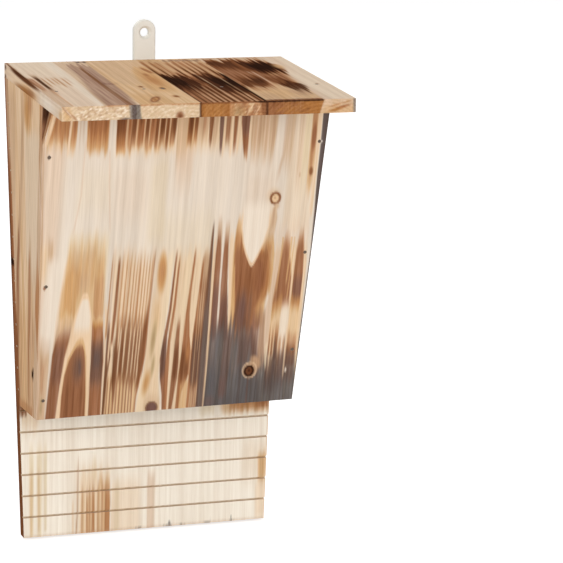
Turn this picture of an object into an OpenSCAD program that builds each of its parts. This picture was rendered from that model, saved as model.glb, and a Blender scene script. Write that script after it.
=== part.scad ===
// Hanging bat box of flamed softwood boards: a grooved back board that runs on below the box as a
// landing board, two side panels, a leaning front panel, a sloping roof and a hanger behind the roof.
// The box narrows a little towards the bottom. Every panel is glued from staves, and nailed.
// The origin is on the axis of the hanger's hole, in the plane of the wall. +Z is up, -Y is the front.

/* [Roof] */
// Width of the roof, and of the box right under it
roof_w = 260; // [230:1:320]
// Depth of the roof, from the rear face of the back board to the front edge
roof_d = 190; // [165:1:240]
// Thickness of the roof boards
roof_t = 12; // [8:0.5:20]
// Slope of the roof down to the front, in degrees
roof_slope = 4.5; // [0:0.5:10]
// Width of the first roof board, at the left
roof_stave_1_w = 62; // [40:0.5:75]
// Width of the second roof board
roof_stave_2_w = 58.5; // [40:0.5:75]
// Width of the third roof board, and the fourth takes the rest
roof_stave_3_w = 59; // [40:0.5:75]

/* [Back board] */
// Width of the back board at its bottom edge
back_bottom_w = 232; // [215:1:260]
// Height of the back board below the roof
back_h = 422; // [360:1:500]
// Thickness of the back board
back_t = 12; // [9:0.5:18]
// Width of the back board's first stave, at the right
back_stave_1_w = 33.5; // [20:0.5:45]
// Width of the second and third staves, and the last two share the rest evenly
back_stave_w = 59; // [40:0.5:70]
// Width of a climbing groove, one saw cut
groove_w = 1.8; // [1:0.1:4]
// Depth of a climbing groove
groove_depth = 2.5; // [1:0.1:4]
// Distance between two climbing grooves
groove_pitch = 20; // [10:0.5:40]
// Height of the lowest groove above the bottom edge
groove_bottom_gap = 19.5; // [8:0.5:40]
// Least distance of the highest groove below the roof
groove_top_gap = 15; // [8:0.5:40]

/* [Box] */
// Depth to the front face under the roof, from the rear face of the back board
front_top_d = 132.5; // [110:0.5:150]
// Depth to the front face at the bottom edge, from the rear face of the back board
front_bottom_d = 70.5; // [55:0.5:100]
// Height of the box below the roof at its left bottom corner
box_h = 297; // [240:1:340]
// Rise of the bottom edge towards the right, where the saw cut is out of square
box_cut_rise = 3.5; // [0:0.5:6]
// Thickness of the front panel
front_t = 12; // [11.5:0.5:18]
// Thickness of the side panels
side_t = 12; // [9:0.5:18]
// Width of the front panel's first stave, at the left
front_stave_1_w = 60; // [40:0.5:70]
// Width of the front panel's second stave
front_stave_2_w = 56; // [40:0.5:70]
// Width of the front panel's third stave, and the fourth takes the rest
front_stave_3_w = 61; // [40:0.5:70]

/* [Broken corner] */
// Width of the chip that is missing at the top left corner of the front panel
chip_w = 9; // [4:0.5:14]
// Length of the chip down the left edge
chip_l = 34; // [15:1:60]
// Depth of the chip on the left edge
chip_edge_depth = 4; // [1:0.5:7]
// Depth of the chip at its inner wall
chip_wall_depth = 10.5; // [7:0.5:11]

/* [Hanger] */
// Width of the hanger
hanger_w = 20; // [16:0.5:26]
// Thickness of the hanger
hanger_t = 6; // [5:0.5:10]
// Bevel around the front of the hanger
hanger_bevel = 1; // [0.4:0.1:1.8]
// Diameter of the hole that the hanger hangs by
hole_d = 8; // [5:0.5:10]
// Diameter of the countersink around that hole
sink_d = 12; // [10.5:0.5:14]
// Depth of the countersink
sink_depth = 2; // [1:0.1:2.5]
// Height of the hole above the underside of the roof at the wall
hole_rise = 36.4; // [34:0.2:60]
// Height of the hanger's top above the hole
hanger_top_rise = 11.6; // [11:0.1:20]
// Distance of the upper screw below the roof
screw_1_drop = 18; // [12:1:28]
// Distance of the lower screw below the roof
screw_2_drop = 48; // [40:1:80]
// Distance from the lower screw to the hanger's lower end
hanger_end_gap = 16; // [13:0.5:30]

/* [Screws and nails] */
// Length of a hanger screw
screw_l = 16; // [12:0.5:16.5]
// Diameter of a hanger screw's shank
screw_d = 3.5; // [2.5:0.1:4.5]
// Diameter of a hanger screw's head
screw_head_d = 7; // [5.5:0.1:8]
// Height of a hanger screw's countersunk head
screw_head_h = 2.4; // [1.5:0.1:3]
// Diameter of a nail's shank
nail_d = 2; // [1.4:0.1:2.6]
// Length of a nail
nail_l = 35; // [28:0.5:40]
// Diameter of a nail's head
nail_head_d = 3; // [2.8:0.1:5]
// Thickness of a nail's head
nail_head_t = 1; // [0.6:0.1:1.6]
// Play between a fastener and its hole, on the radius
hole_play = 0.1; // [0.05:0.01:0.2]
// Distance of the top left nail in the front below the roof's underside at the wall
left_nail_drop = 55; // [48:1:70]
// Height of the bottom left nail above the box's bottom edge
left_nail_rise = 18; // [12:1:40]
// Distance of the top right nail in the front below the roof's underside at the wall
right_nail_drop = 49; // [44:1:70]
// Height of the bottom right nail above the box's bottom edge
right_nail_rise = 49; // [12:1:60]
// How far the middle nails of the front sit below half way
nail_stagger = 5; // [0:0.5:10]
// Distance of the rear nails of the sides from the roof and from the bottom edge
rear_nail_inset = 30; // [15:1:60]
// Distance of the outermost roof nails from the roof's sides
roof_nail_inset = 12.6; // [8:0.2:20]
// Distance of the pair of roof nails from the roof's left side
roof_nail_pair = 90; // [75:0.5:100]
// Distance between the two nails of that pair
roof_nail_pair_gap = 16.6; // [10:0.2:20]
// Distance of the nail in the third roof board from the roof's left side
roof_nail_third = 160; // [140:0.5:170]

/* [Hidden] */
$fn = 48;

// Length by which a cutting shape runs past what it cuts
over = 5;
// Length of a nail's point and of a screw's point
nail_point_l = 3;
screw_point_l = 3.5;
// Cross recess in a screw's head
recess_l = 4;
recess_w = 0.9;
recess_depth = 1.4;

// Change of the half width with each millimetre of height, and the slope of the roof's underside
taper = (roof_w - back_bottom_w) / 2 / back_h;
roof_fall = tan(roof_slope);

// Half width of the box at height z, where z is 0 at the roof's underside at the back
function half_w(z) = roof_w / 2 + taper * z;

// Height of the roof's underside at depth d from the rear face
function under_roof(d) = -roof_fall * d;

// Lean of the front panel, and the depth to its front face at height z
front_lean = atan((front_top_d - front_bottom_d) / (box_h + under_roof(front_top_d)));
function front_d(z) = front_bottom_d + tan(front_lean) * (box_h + z);

// Depth at which a plane that leans like the front panel meets the roof, from its depth at height 0
function meets_roof(d) = d / (1 + tan(front_lean) * roof_fall);

// Thickness of the front panel measured level, and the depths of its middle and its inner face at the roof
front_t_level = front_t / cos(front_lean);
front_mid_d = meets_roof(front_d(0) - front_t_level / 2);
front_inner_d = meets_roof(front_d(0) - front_t_level);

// Height of the box's bottom edge at x
function cut_z(x) = -box_h + box_cut_rise * (x + half_w(-box_h)) / (2 * half_w(-box_h));

// Grooves, counted from the bottom
groove_count = floor((back_h - groove_bottom_gap - groove_top_gap) / groove_pitch) + 1;
function groove_z(i) = -back_h + groove_bottom_gap + i * groove_pitch;

// Seams of the roof, with its left side first and its right side last
roof_seams = [
    -roof_w / 2,
    -roof_w / 2 + roof_stave_1_w,
    -roof_w / 2 + roof_stave_1_w + roof_stave_2_w,
    -roof_w / 2 + roof_stave_1_w + roof_stave_2_w + roof_stave_3_w,
    roof_w / 2
];

// Place of each edge and seam of the front panel at height z, from its left edge to its right one.
// The seams run along the left edge.
function front_seams(z) = [
    -half_w(z),
    -half_w(z) + front_stave_1_w,
    -half_w(z) + front_stave_1_w + front_stave_2_w,
    -half_w(z) + front_stave_1_w + front_stave_2_w + front_stave_3_w,
    half_w(z)
];

// Place of each edge and seam of the back board at height z, from its right edge to its left one.
// The first three seams run along the right edge, and the last one halves what is left.
function back_seams(z) = [
    half_w(z),
    half_w(z) - back_stave_1_w,
    half_w(z) - back_stave_1_w - back_stave_w,
    half_w(z) - back_stave_1_w - 2 * back_stave_w,
    -(back_stave_1_w + 2 * back_stave_w) / 2,
    -half_w(z)
];

// Places of the nails along the roof, over the front panel's top edge
roof_nails_x = [
    -roof_w / 2 + roof_nail_inset,
    -roof_w / 2 + roof_nail_pair,
    -roof_w / 2 + roof_nail_pair + roof_nail_pair_gap,
    -roof_w / 2 + roof_nail_third,
    roof_w / 2 - roof_nail_inset
];

// Heights of the three nails on each side of the front, and of those at the back
function between(top, bottom, stagger) = [top, (top + bottom) / 2 - stagger, bottom];
left_nails_z = between(-left_nail_drop, cut_z(-half_w(-box_h)) + left_nail_rise, nail_stagger);
right_nails_z = between(-right_nail_drop, cut_z(half_w(-box_h)) + right_nail_rise, nail_stagger);
back_nails_z = between(-rear_nail_inset, cut_z(0) + rear_nail_inset, 0);

// The hanger's screws and its lower end, from the roof's underside
screws_z = [-screw_1_drop, -screw_2_drop];
hanger_end_z = -screw_2_drop - hanger_end_gap;

// Colours of the wood and of the fittings
PALE = "#e3c9a0";
TAN = "#cfa877";
BURNT = "#8a5c3a";
CREAM = "#e0d9cc";
STEEL = "#9b9a96";

// Puts the box, drawn from the roof's underside at the back, into the frame of the hanger's hole
module in_place() {
    translate([0, -hanger_t, -hole_rise]) children();
}

// Draws an outline seen from the front, x and height, through the whole depth of the box
module through_depth() {
    rotate([90, 0, 0]) translate([0, 0, -over]) linear_extrude(roof_d + 2 * over) children();
}

// Draws an outline seen from the side, depth from the rear face and height, across the whole width
module through_width() {
    translate([-roof_w / 2 - over, 0, 0]) rotate([90, 0, 90])
        linear_extrude(roof_w + 2 * over) mirror([1, 0, 0]) children();
}

// Strip of the front view between two places at the roof and two places at the back board's bottom
module strip(near_top, far_top, near_bottom, far_bottom) {
    through_depth() polygon([[near_top, 0], [far_top, 0], [far_bottom, -back_h], [near_bottom, -back_h]]);
}

// Nail along -Z with the top of its head at the origin, or its hole when it is given some play
module nail(play = 0) {
    head_r = nail_head_d / 2 + play;
    shank_r = nail_d / 2 + play;
    head_top = play > 0 ? over : 0;
    rotate_extrude() polygon([
        [0, head_top], [head_r, head_top], [head_r, -nail_head_t], [shank_r, -nail_head_t],
        [shank_r, -nail_l + nail_point_l - play], [0, -nail_l - play]
    ]);
}

// Wood screw along -Z with the top of its countersunk head at the origin, or its hole
module screw(play = 0) {
    head_r = screw_head_d / 2 + play;
    shank_r = screw_d / 2 + play;
    head_top = play > 0 ? over : 0;
    rotate_extrude() polygon([
        [0, head_top], [head_r, head_top], [head_r, 0], [shank_r, -screw_head_h],
        [shank_r, -screw_l + screw_point_l - play], [0, -screw_l - play]
    ]);
}

// Cross recess for the driver
module cross_recess() {
    for (turn = [0, 90])
        rotate(turn) translate([-recess_l / 2, -recess_w / 2, -recess_depth])
            cube([recess_l, recess_w, recess_depth + over]);
}

// Puts what it is given on the front face at x and height z, with +Z out of the panel
module on_front(x, z) {
    translate([x, -front_d(z), z]) rotate([90 + front_lean, 0, 0]) children();
}

// Puts what it is given on top of the roof over the front panel's top edge
module on_roof(x) {
    translate([x, -front_mid_d, under_roof(front_mid_d)]) rotate([roof_slope, 0, 0])
        translate([0, 0, roof_t]) children();
}

// Puts what it is given on the rear face at x and height z, with +Z towards the wall
module on_back(x, z) {
    translate([x, 0, z]) rotate([-90, 0, 0]) children();
}

// All nails of the front, in the middle of the side panels' front edges
module all_front_nails(play = 0) {
    for (z = left_nails_z) on_front(-half_w(z) + side_t / 2, z) nail(play);
    for (z = right_nails_z) on_front(half_w(z) - side_t / 2, z) nail(play);
}

// All nails of the roof
module all_roof_nails(play = 0) {
    for (x = roof_nails_x) on_roof(x) nail(play);
}

// All nails through the back board into the side panels' rear edges
module all_back_nails(play = 0) {
    for (z = back_nails_z, side = [-1, 1]) on_back(side * (half_w(z) - side_t / 2), z) nail(play);
}

// Both screws of the hanger, which start at its rear face
module all_screws(play = 0) {
    for (z = screws_z) translate([0, hanger_t, 0]) on_back(0, z) screw(play);
}

// Everything below the box's bottom edge, where the side panels and the front were sawn off together
module below_box() {
    through_depth() polygon([
        [-roof_w, cut_z(-roof_w)], [roof_w, cut_z(roof_w)],
        [roof_w, -back_h - over], [-roof_w, -back_h - over]
    ]);
}

// Chip that broke off the front panel's top left corner: a wedge in the face that tapers downwards,
// with a floor that slopes in from the left edge
module chip() {
    top = under_roof(front_top_d);
    edge_turn = atan(taper);
    on_front(-half_w(top), top) rotate(edge_turn) intersection() {
        translate([0, 0, -front_t]) linear_extrude(front_t + over)
            polygon([[-over, over], [chip_w + over * chip_w / chip_l, over], [0, -chip_l], [-over, -chip_l]]);
        rotate([90, 0, 0]) translate([0, 0, -over]) linear_extrude(chip_l + 2 * over) polygon([
            [-over, over], [chip_w + over, over], [chip_w + over, -chip_wall_depth],
            [chip_w, -chip_wall_depth], [0, -chip_edge_depth], [-over, -chip_edge_depth]
        ]);
    }
}

// One stave of the back board, number 1 at the right, with the climbing grooves across it
module back_board(number) {
    top = back_seams(0);
    bottom = back_seams(-back_h);
    color(PALE) in_place() difference() {
        intersection() {
            strip(top[number - 1], top[number], bottom[number - 1], bottom[number]);
            through_width() polygon([[0, 0], [back_t, under_roof(back_t)], [back_t, -back_h], [0, -back_h]]);
        }
        for (i = [0 : groove_count - 1])
            translate([-roof_w, -back_t - over, groove_z(i) - groove_w / 2])
                cube([2 * roof_w, over + groove_depth, groove_w]);
        all_back_nails(hole_play);
        all_screws(hole_play);
    }
}

// Side view of the box behind the front panel
module side_outline() {
    polygon([
        [back_t, under_roof(back_t)], [front_inner_d, under_roof(front_inner_d)],
        [front_d(-box_h - over) - front_t_level, -box_h - over], [back_t, -box_h - over]
    ]);
}

// Side panel, on the left for -1 and on the right for 1, flush with the edges of back and front
module side_panel(side) {
    color(TAN) in_place() difference() {
        intersection() {
            through_width() side_outline();
            strip(
                side * half_w(0), side * (half_w(0) - side_t),
                side * half_w(-back_h), side * (half_w(-back_h) - side_t)
            );
        }
        below_box();
        all_front_nails(hole_play);
        all_back_nails(hole_play);
    }
}

// Side view of the leaning front panel
module front_outline() {
    polygon([
        [front_top_d, under_roof(front_top_d)], [front_inner_d, under_roof(front_inner_d)],
        [front_d(-box_h - over) - front_t_level, -box_h - over], [front_d(-box_h - over), -box_h - over]
    ]);
}

// One stave of the front panel, number 1 at the left
module front_board(number) {
    top = front_seams(0);
    bottom = front_seams(-back_h);
    color(number == 2 ? TAN : BURNT) in_place() difference() {
        intersection() {
            strip(top[number - 1], top[number], bottom[number - 1], bottom[number]);
            through_width() front_outline();
        }
        below_box();
        chip();
        all_front_nails(hole_play);
        all_roof_nails(hole_play);
    }
}

// One board of the roof, number 1 at the left, with plumb front and rear faces
module roof_board(number) {
    left = roof_seams[number - 1];
    right = roof_seams[number];
    upright_t = roof_t / cos(roof_slope);
    color(number == 3 ? BURNT : TAN) in_place() difference() {
        translate([left, 0, 0]) rotate([90, 0, 90]) linear_extrude(right - left) mirror([1, 0, 0])
            polygon([
                [0, 0], [0, upright_t], [roof_d, under_roof(roof_d) + upright_t], [roof_d, under_roof(roof_d)]
            ]);
        all_roof_nails(hole_play);
    }
}

// Half of the hanger's section: from its middle out to its edge, and from the rear face to the front
module hanger_half_section() {
    polygon([
        [0, 0], [hanger_w / 2, 0], [hanger_w / 2, hanger_t - hanger_bevel],
        [hanger_w / 2 - hanger_bevel, hanger_t], [0, hanger_t]
    ]);
}

// Round end of the hanger, at height z from the roof's underside
module hanger_end(z) {
    translate([0, hanger_t, z]) rotate([90, 0, 0]) rotate_extrude() hanger_half_section();
}

// Hanger: a flat bar with round ends and a bevelled front, with a countersunk hole above the roof
module hanger() {
    top_z = hole_rise + hanger_top_rise - hanger_w / 2;
    low_z = hanger_end_z + hanger_w / 2;
    color(CREAM) in_place() difference() {
        union() {
            hanger_end(top_z);
            hanger_end(low_z);
            for (side = [0, 1])
                mirror([side, 0, 0]) translate([0, hanger_t, low_z]) mirror([0, 1, 0])
                    linear_extrude(top_z - low_z) hanger_half_section();
        }
        translate([0, hanger_t + over, hole_rise]) rotate([90, 0, 0])
            cylinder(h = hanger_t + 2 * over, d = hole_d);
        translate([0, sink_depth, hole_rise]) rotate([90, 0, 0]) {
            cylinder(h = sink_depth, d1 = hole_d, d2 = sink_d);
            translate([0, 0, sink_depth]) cylinder(h = over, d = sink_d);
        }
        all_screws(hole_play);
    }
}

module hanger_screws() {
    color(STEEL) in_place() difference() {
        all_screws();
        for (z = screws_z) translate([0, hanger_t, 0]) on_back(0, z) cross_recess();
    }
}

module front_nails() {
    color(STEEL) in_place() all_front_nails();
}

module roof_nails() {
    color(STEEL) in_place() all_roof_nails();
}

module back_nails() {
    color(STEEL) in_place() all_back_nails();
}

back_board(1);  // back_board_1
back_board(2);  // back_board_2
back_board(3);  // back_board_3
back_board(4);  // back_board_4
back_board(5);  // back_board_5
side_panel(-1);  // side_left
side_panel(1);  // side_right
front_board(1);  // front_board_1
front_board(2);  // front_board_2
front_board(3);  // front_board_3
front_board(4);  // front_board_4
roof_board(1);  // roof_board_1
roof_board(2);  // roof_board_2
roof_board(3);  // roof_board_3
roof_board(4);  // roof_board_4
hanger();
hanger_screws();
front_nails();
roof_nails();
back_nails();
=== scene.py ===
"""Dresses the bat box: flamed softwood boards, an off-white hanger bar, steel nails, and the photo studio.

Each board is a copy of its CAD solid, sliced finely enough to carry the marks of the gas flame, with some painted
shade and painted glints, as a colour attribute. The marks are given in millimetres on the board's own face.
"""
import logging
import math
from dataclasses import dataclass
from enum import Enum

import bmesh
import bpy
import numpy as np
from mathutils import Matrix, Vector


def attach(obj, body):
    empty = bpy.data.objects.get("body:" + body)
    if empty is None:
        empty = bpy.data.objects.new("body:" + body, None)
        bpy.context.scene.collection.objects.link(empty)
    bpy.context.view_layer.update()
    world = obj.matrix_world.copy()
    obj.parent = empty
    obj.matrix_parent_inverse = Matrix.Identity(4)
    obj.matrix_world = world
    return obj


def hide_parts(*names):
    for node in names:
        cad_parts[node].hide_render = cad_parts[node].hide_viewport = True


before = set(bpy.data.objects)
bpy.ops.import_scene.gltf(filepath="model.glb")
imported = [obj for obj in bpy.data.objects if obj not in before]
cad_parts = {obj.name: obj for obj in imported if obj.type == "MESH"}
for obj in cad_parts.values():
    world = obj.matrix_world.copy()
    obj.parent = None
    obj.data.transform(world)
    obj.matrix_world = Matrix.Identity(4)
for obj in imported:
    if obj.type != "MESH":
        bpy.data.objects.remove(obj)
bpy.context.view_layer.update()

LOG = logging.getLogger("bat_box")
MM = 0.001
BAR_THICKNESS = 6.0         # mm, the bar stands between the wall and the back board
HOLE_RISE = 36.4            # mm, the hanger hole above the roof's underside at the rear
FRONT_LEAN = 62.0 / 286.6   # depth that the box loses for each millimetre of drop
WELD = 1e-6                 # m, corners closer than this are one
TOUCH = 1e-7                # m, what is this close to a cutting plane lies on it
FLAT = math.radians(0.05)   # faces that turn by less than this are one
WHITE = (1.0, 1.0, 1.0, 1.0)
ACROSS, DEPTH, DROP = Vector((1, 0, 0)), Vector((0, 1, 0)), Vector((0, 0, 1))

Span = tuple[float, float]
Triple = tuple[float, float, float]
Colour = tuple[float, float, float, float]
Socket = bpy.types.NodeSocket
Value = Socket | float | Triple | Colour


class Tone(Enum):
    """Colours of the wood from untouched to burnt, as they look in plain light (sRGB, 0 to 255)."""

    MILK = (247, 237, 221)
    IVORY = (238, 225, 207)
    OAT = (219, 204, 187)
    CREAM = (232, 217, 199)
    PEACH = (230, 198, 162)
    VANILLA = (232, 208, 174)
    WHEAT = (226, 192, 150)
    PALE = (224, 202, 176)
    STRAW = (222, 201, 165)
    BLUSH = (217, 188, 161)
    TAN = (203, 169, 135)
    FAWN = (190, 152, 119)
    HONEY = (208, 164, 114)
    AMBER = (196, 144, 90)
    GINGER = (184, 132, 94)
    TOAST = (178, 122, 78)
    CARAMEL = (170, 114, 62)
    CHESTNUT = (150, 94, 50)
    SIENNA = (160, 104, 68)
    RUSSET = (145, 95, 66)
    UMBER = (128, 80, 51)
    COCOA = (108, 67, 44)
    MAUVE = (140, 103, 88)
    PLUM = (118, 86, 76)
    SEPIA = (104, 78, 68)
    SLATE = (110, 104, 101)
    ASH = (96, 91, 90)
    SOOT = (92, 78, 74)
    OLIVE = (172, 146, 104)
    CHAR = (72, 42, 28)
    COAL = (44, 27, 20)

    @property
    def rgb(self) -> np.ndarray:
        """The colour as three numbers from 0 to 1, still sRGB."""
        return np.array(self.value, float) / 255.0


def smooth(x: np.ndarray) -> np.ndarray:
    """An S-shaped ramp from 0 to 1."""
    t = np.clip(x, 0.0, 1.0)
    return t * t * (3.0 - 2.0 * t)


def to_linear(rgb: np.ndarray) -> np.ndarray:
    """Turns sRGB from 0 to 1 into scene-linear colour."""
    return np.where(rgb <= 0.04045, rgb / 12.92, ((np.maximum(rgb, 0.0) + 0.055) / 1.055) ** 2.4)


class Fibre:
    """Smooth seeded noise on a plane, from 0 to 1, for what the wood's fibres do."""

    SIZE = 256

    def __init__(self, seed: int) -> None:
        """Fills the lattice.

        Args:
            seed: makes the pattern, the same each run.
        """
        self.lattice = np.random.default_rng(seed).random((self.SIZE, self.SIZE))

    def at(self, u: np.ndarray, v: np.ndarray) -> np.ndarray:
        """Gives the noise at points of the plane.

        Args:
            u: first place of each point, one lattice cell a unit.
            v: second place.

        Returns:
            One number from 0 to 1 a point.
        """
        iu, iv = np.floor(u).astype(int), np.floor(v).astype(int)
        fu, fv = smooth(u - iu), smooth(v - iv)
        a, b = iu % self.SIZE, (iu + 1) % self.SIZE
        c, d = iv % self.SIZE, (iv + 1) % self.SIZE
        low = self.lattice[a, c] * (1 - fu) + self.lattice[b, c] * fu
        high = self.lattice[a, d] * (1 - fu) + self.lattice[b, d] * fu
        return low * (1 - fv) + high * fv

    def drawn(self, u: np.ndarray, v: np.ndarray, across: float, along: float, shift: Span = (0.0, 0.0)) -> np.ndarray:
        """Gives the noise drawn out along the grain.

        Args:
            u: across the grain, in millimetres.
            v: along the grain.
            across: width of a feature.
            along: its length.
            shift: place on the lattice to start from.

        Returns:
            One number from 0 to 1 a point.
        """
        return self.at(u / across + shift[0], v / along + shift[1])


class Canvas:
    """One face of a board, where u runs across the grain and v along it, in millimetres."""

    WANDER = 3.0            # mm by which the bands of the bare wood wander
    TURN = 0.8              # how far they turn to the other tone

    def __init__(self, u: np.ndarray, v: np.ndarray, base: Tone, other: Tone, seed: int) -> None:
        """Starts with untouched wood.

        Args:
            u: across the grain, one number a mesh corner.
            v: along the grain.
            base: main colour of the bare wood.
            other: colour that its softer bands turn to.
            seed: makes the bands.
        """
        fibre = Fibre(seed)
        self.u, self.v = u, v
        self.ends = fibre.drawn(u, v, 1.7, 400.0, (31.0, 5.0)) - 0.5
        self.fine = fibre.drawn(u, v, 0.9, 45.0, (11.0, 0.0))
        thick, thin = fibre.drawn(u, v, 2.6, 150.0, (61.0, 0.0)), fibre.drawn(u, v, 1.2, 90.0, (9.0, 0.0))
        self.strand = smooth(thick * 1.1 + thin * 0.9 - 0.5)
        wavy = u + (fibre.drawn(u, v, 40.0, 90.0, (7.3, 0.0)) - 0.5) * self.WANDER
        bands = fibre.drawn(wavy, v, 7.0, 160.0) * 0.6 + fibre.drawn(wavy, v, 2.1, 110.0) * 0.4
        self.rgb = base.rgb + (other.rgb - base.rgb) * smooth(bands * 1.5 - 0.35)[:, None] * self.TURN

    def lay(self, cover: np.ndarray, tone: Tone, where: np.ndarray | slice = slice(None)) -> None:
        """Lays a tone over the wood.

        Args:
            cover: how much of it, from 0 to 1.
            tone: the tone.
            where: the corners that cover speaks of.
        """
        self.rgb[where] += (tone.rgb - self.rgb[where]) * cover[:, None]


@dataclass(frozen=True)
class Streak:
    """A stripe of one tone along the grain, between two borders.

    rows holds (v, left, right) at several places along the grain, fade the lengths over which it comes and
    goes, edge how soft its two borders are, fray how ragged its ends are, grain how much its fibres show, and
    strands how much it splits into strands where it is weak.
    """

    tone: Tone
    rows: tuple[Triple, ...]
    strength: float = 1.0
    fade: Span = (3.0, 7.0)
    edge: Span = (0.9, 0.9)
    fray: float = 6.0
    grain: float = 0.25
    strands: float = 0.0

    def paint(self, canvas: Canvas) -> None:
        """Lays the streak on a canvas.

        Args:
            canvas: the face that it marks.
        """
        rows = np.array(self.rows)
        near = np.flatnonzero((canvas.v > rows[0, 0] - self.fray) & (canvas.v < rows[-1, 0] + self.fray)
                              & (canvas.u > rows[:, 1].min() - self.edge[0])
                              & (canvas.u < rows[:, 2].max() + self.edge[1]))
        if not len(near):
            return
        u, v, ragged = canvas.u[near], canvas.v[near], canvas.ends[near] * self.fray
        left, right = np.interp(v, rows[:, 0], rows[:, 1]), np.interp(v, rows[:, 0], rows[:, 2])
        cover = smooth((u - left) / self.edge[0] + 0.5) * smooth((right - u) / self.edge[1] + 0.5)
        if self.fade[0] > 0:
            cover *= smooth((v - rows[0, 0] - ragged) / self.fade[0])
        if self.fade[1] > 0:
            cover *= smooth((rows[-1, 0] - v + ragged) / self.fade[1])
        if self.strands > 0:
            cover = np.clip(cover * (1.0 + self.strands) - canvas.strand[near] * self.strands, 0.0, 1.0)
        canvas.lay(cover * self.strength * (1.0 - self.grain * canvas.fine[near]), self.tone, near)


@dataclass(frozen=True)
class Comb:
    """Side by side streaks of one tone with a common start, each (left, right, end), that lean alike."""

    tone: Tone
    start: float
    teeth: tuple[Triple, ...]
    lean: float = 0.0
    strength: float = 1.0
    fade: Span = (0.0, 9.0)
    edge: Span = (1.1, 1.1)
    taper: float = 0.25

    def paint(self, canvas: Canvas) -> None:
        """Lays the teeth on a canvas, each a little narrower at its end.

        Args:
            canvas: the face that it marks.
        """
        for left, right, end in self.teeth:
            shift, narrow = (end - self.start) * self.lean, (right - left) * self.taper / 2
            rows = ((self.start, left, right), ((self.start + end) / 2, left + shift / 2, right + shift / 2),
                    (end, left + shift + narrow, right + shift - narrow))
            Streak(self.tone, rows, self.strength, self.fade, self.edge).paint(canvas)


@dataclass(frozen=True)
class Spot:
    """A round or long spot, soft at its border over the share given."""

    tone: Tone
    at: Span
    reach: Span
    strength: float = 1.0
    soft: float = 0.6
    turn: float = 0.0

    def paint(self, canvas: Canvas) -> None:
        """Lays the spot on a canvas.

        Args:
            canvas: the face that it marks.
        """
        du, dv = canvas.u - self.at[0], canvas.v - self.at[1]
        c, s = math.cos(math.radians(self.turn)), math.sin(math.radians(self.turn))
        r = np.hypot((du * c + dv * s) / self.reach[0], (dv * c - du * s) / self.reach[1])
        near = np.flatnonzero(r < 1.0)
        canvas.lay(smooth((1.0 - r[near]) / self.soft) * self.strength, self.tone, near)


@dataclass(frozen=True)
class Ring:
    """The rim of a knot."""

    CORE = 1.3              # how much of its width is full
    tone: Tone
    at: Span
    reach: Span
    width: float
    strength: float = 1.0

    def paint(self, canvas: Canvas) -> None:
        """Lays the rim on a canvas.

        Args:
            canvas: the face that it marks.
        """
        r = np.hypot((canvas.u - self.at[0]) / self.reach[0], (canvas.v - self.at[1]) / self.reach[1])
        off = np.abs(r - 1.0) * min(self.reach)
        near = np.flatnonzero(off < self.width)
        cover = smooth(self.CORE - off[near] / self.width * self.CORE) * (1.0 - 0.1 * canvas.fine[near])
        canvas.lay(cover * self.strength, self.tone, near)


@dataclass(frozen=True)
class Speckle:
    """Small flecks between two borders, as a saw leaves them on end grain."""

    BORDER = 3.0            # mm over which they begin and end
    tone: Tone
    left: float
    right: float
    strength: float = 0.6
    size: Span = (1.7, 1.3)
    seed: int = 11

    def paint(self, canvas: Canvas) -> None:
        """Lays the flecks on a canvas.

        Args:
            canvas: the face that it marks.
        """
        near = np.flatnonzero((canvas.u > self.left) & (canvas.u < self.right))
        u, v = canvas.u[near], canvas.v[near]
        fleck = Fibre(self.seed).at(u / self.size[0] + v * 0.35, v / self.size[1])
        border = smooth((u - self.left) / self.BORDER) * smooth((self.right - u) / self.BORDER)
        canvas.lay(smooth((fleck - 0.45) / 0.35) * border * self.strength, self.tone, near)


@dataclass(frozen=True)
class Flaming:
    """What the flame leaves where no single mark is known: bundles of streaks that come and go."""

    tone: Tone
    amount: float
    width: float = 26.0
    length: float = 95.0
    seed: int = 1

    def paint(self, canvas: Canvas) -> None:
        """Lays the bundles on a canvas.

        Args:
            canvas: the face that it marks.
        """
        fibre = Fibre(self.seed)
        u, v = canvas.u, canvas.v
        bundle = fibre.drawn(u, v, self.width, self.length)
        strand = fibre.drawn(u, v, 2.3, 120.0, (17.0, 3.0))
        cover = smooth((bundle * 0.62 + strand * 0.38 + self.amount - 0.78) / 0.16)
        canvas.lay(cover * (1.0 - 0.3 * canvas.fine), self.tone)


Mark = Streak | Comb | Spot | Ring | Speckle | Flaming


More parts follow.
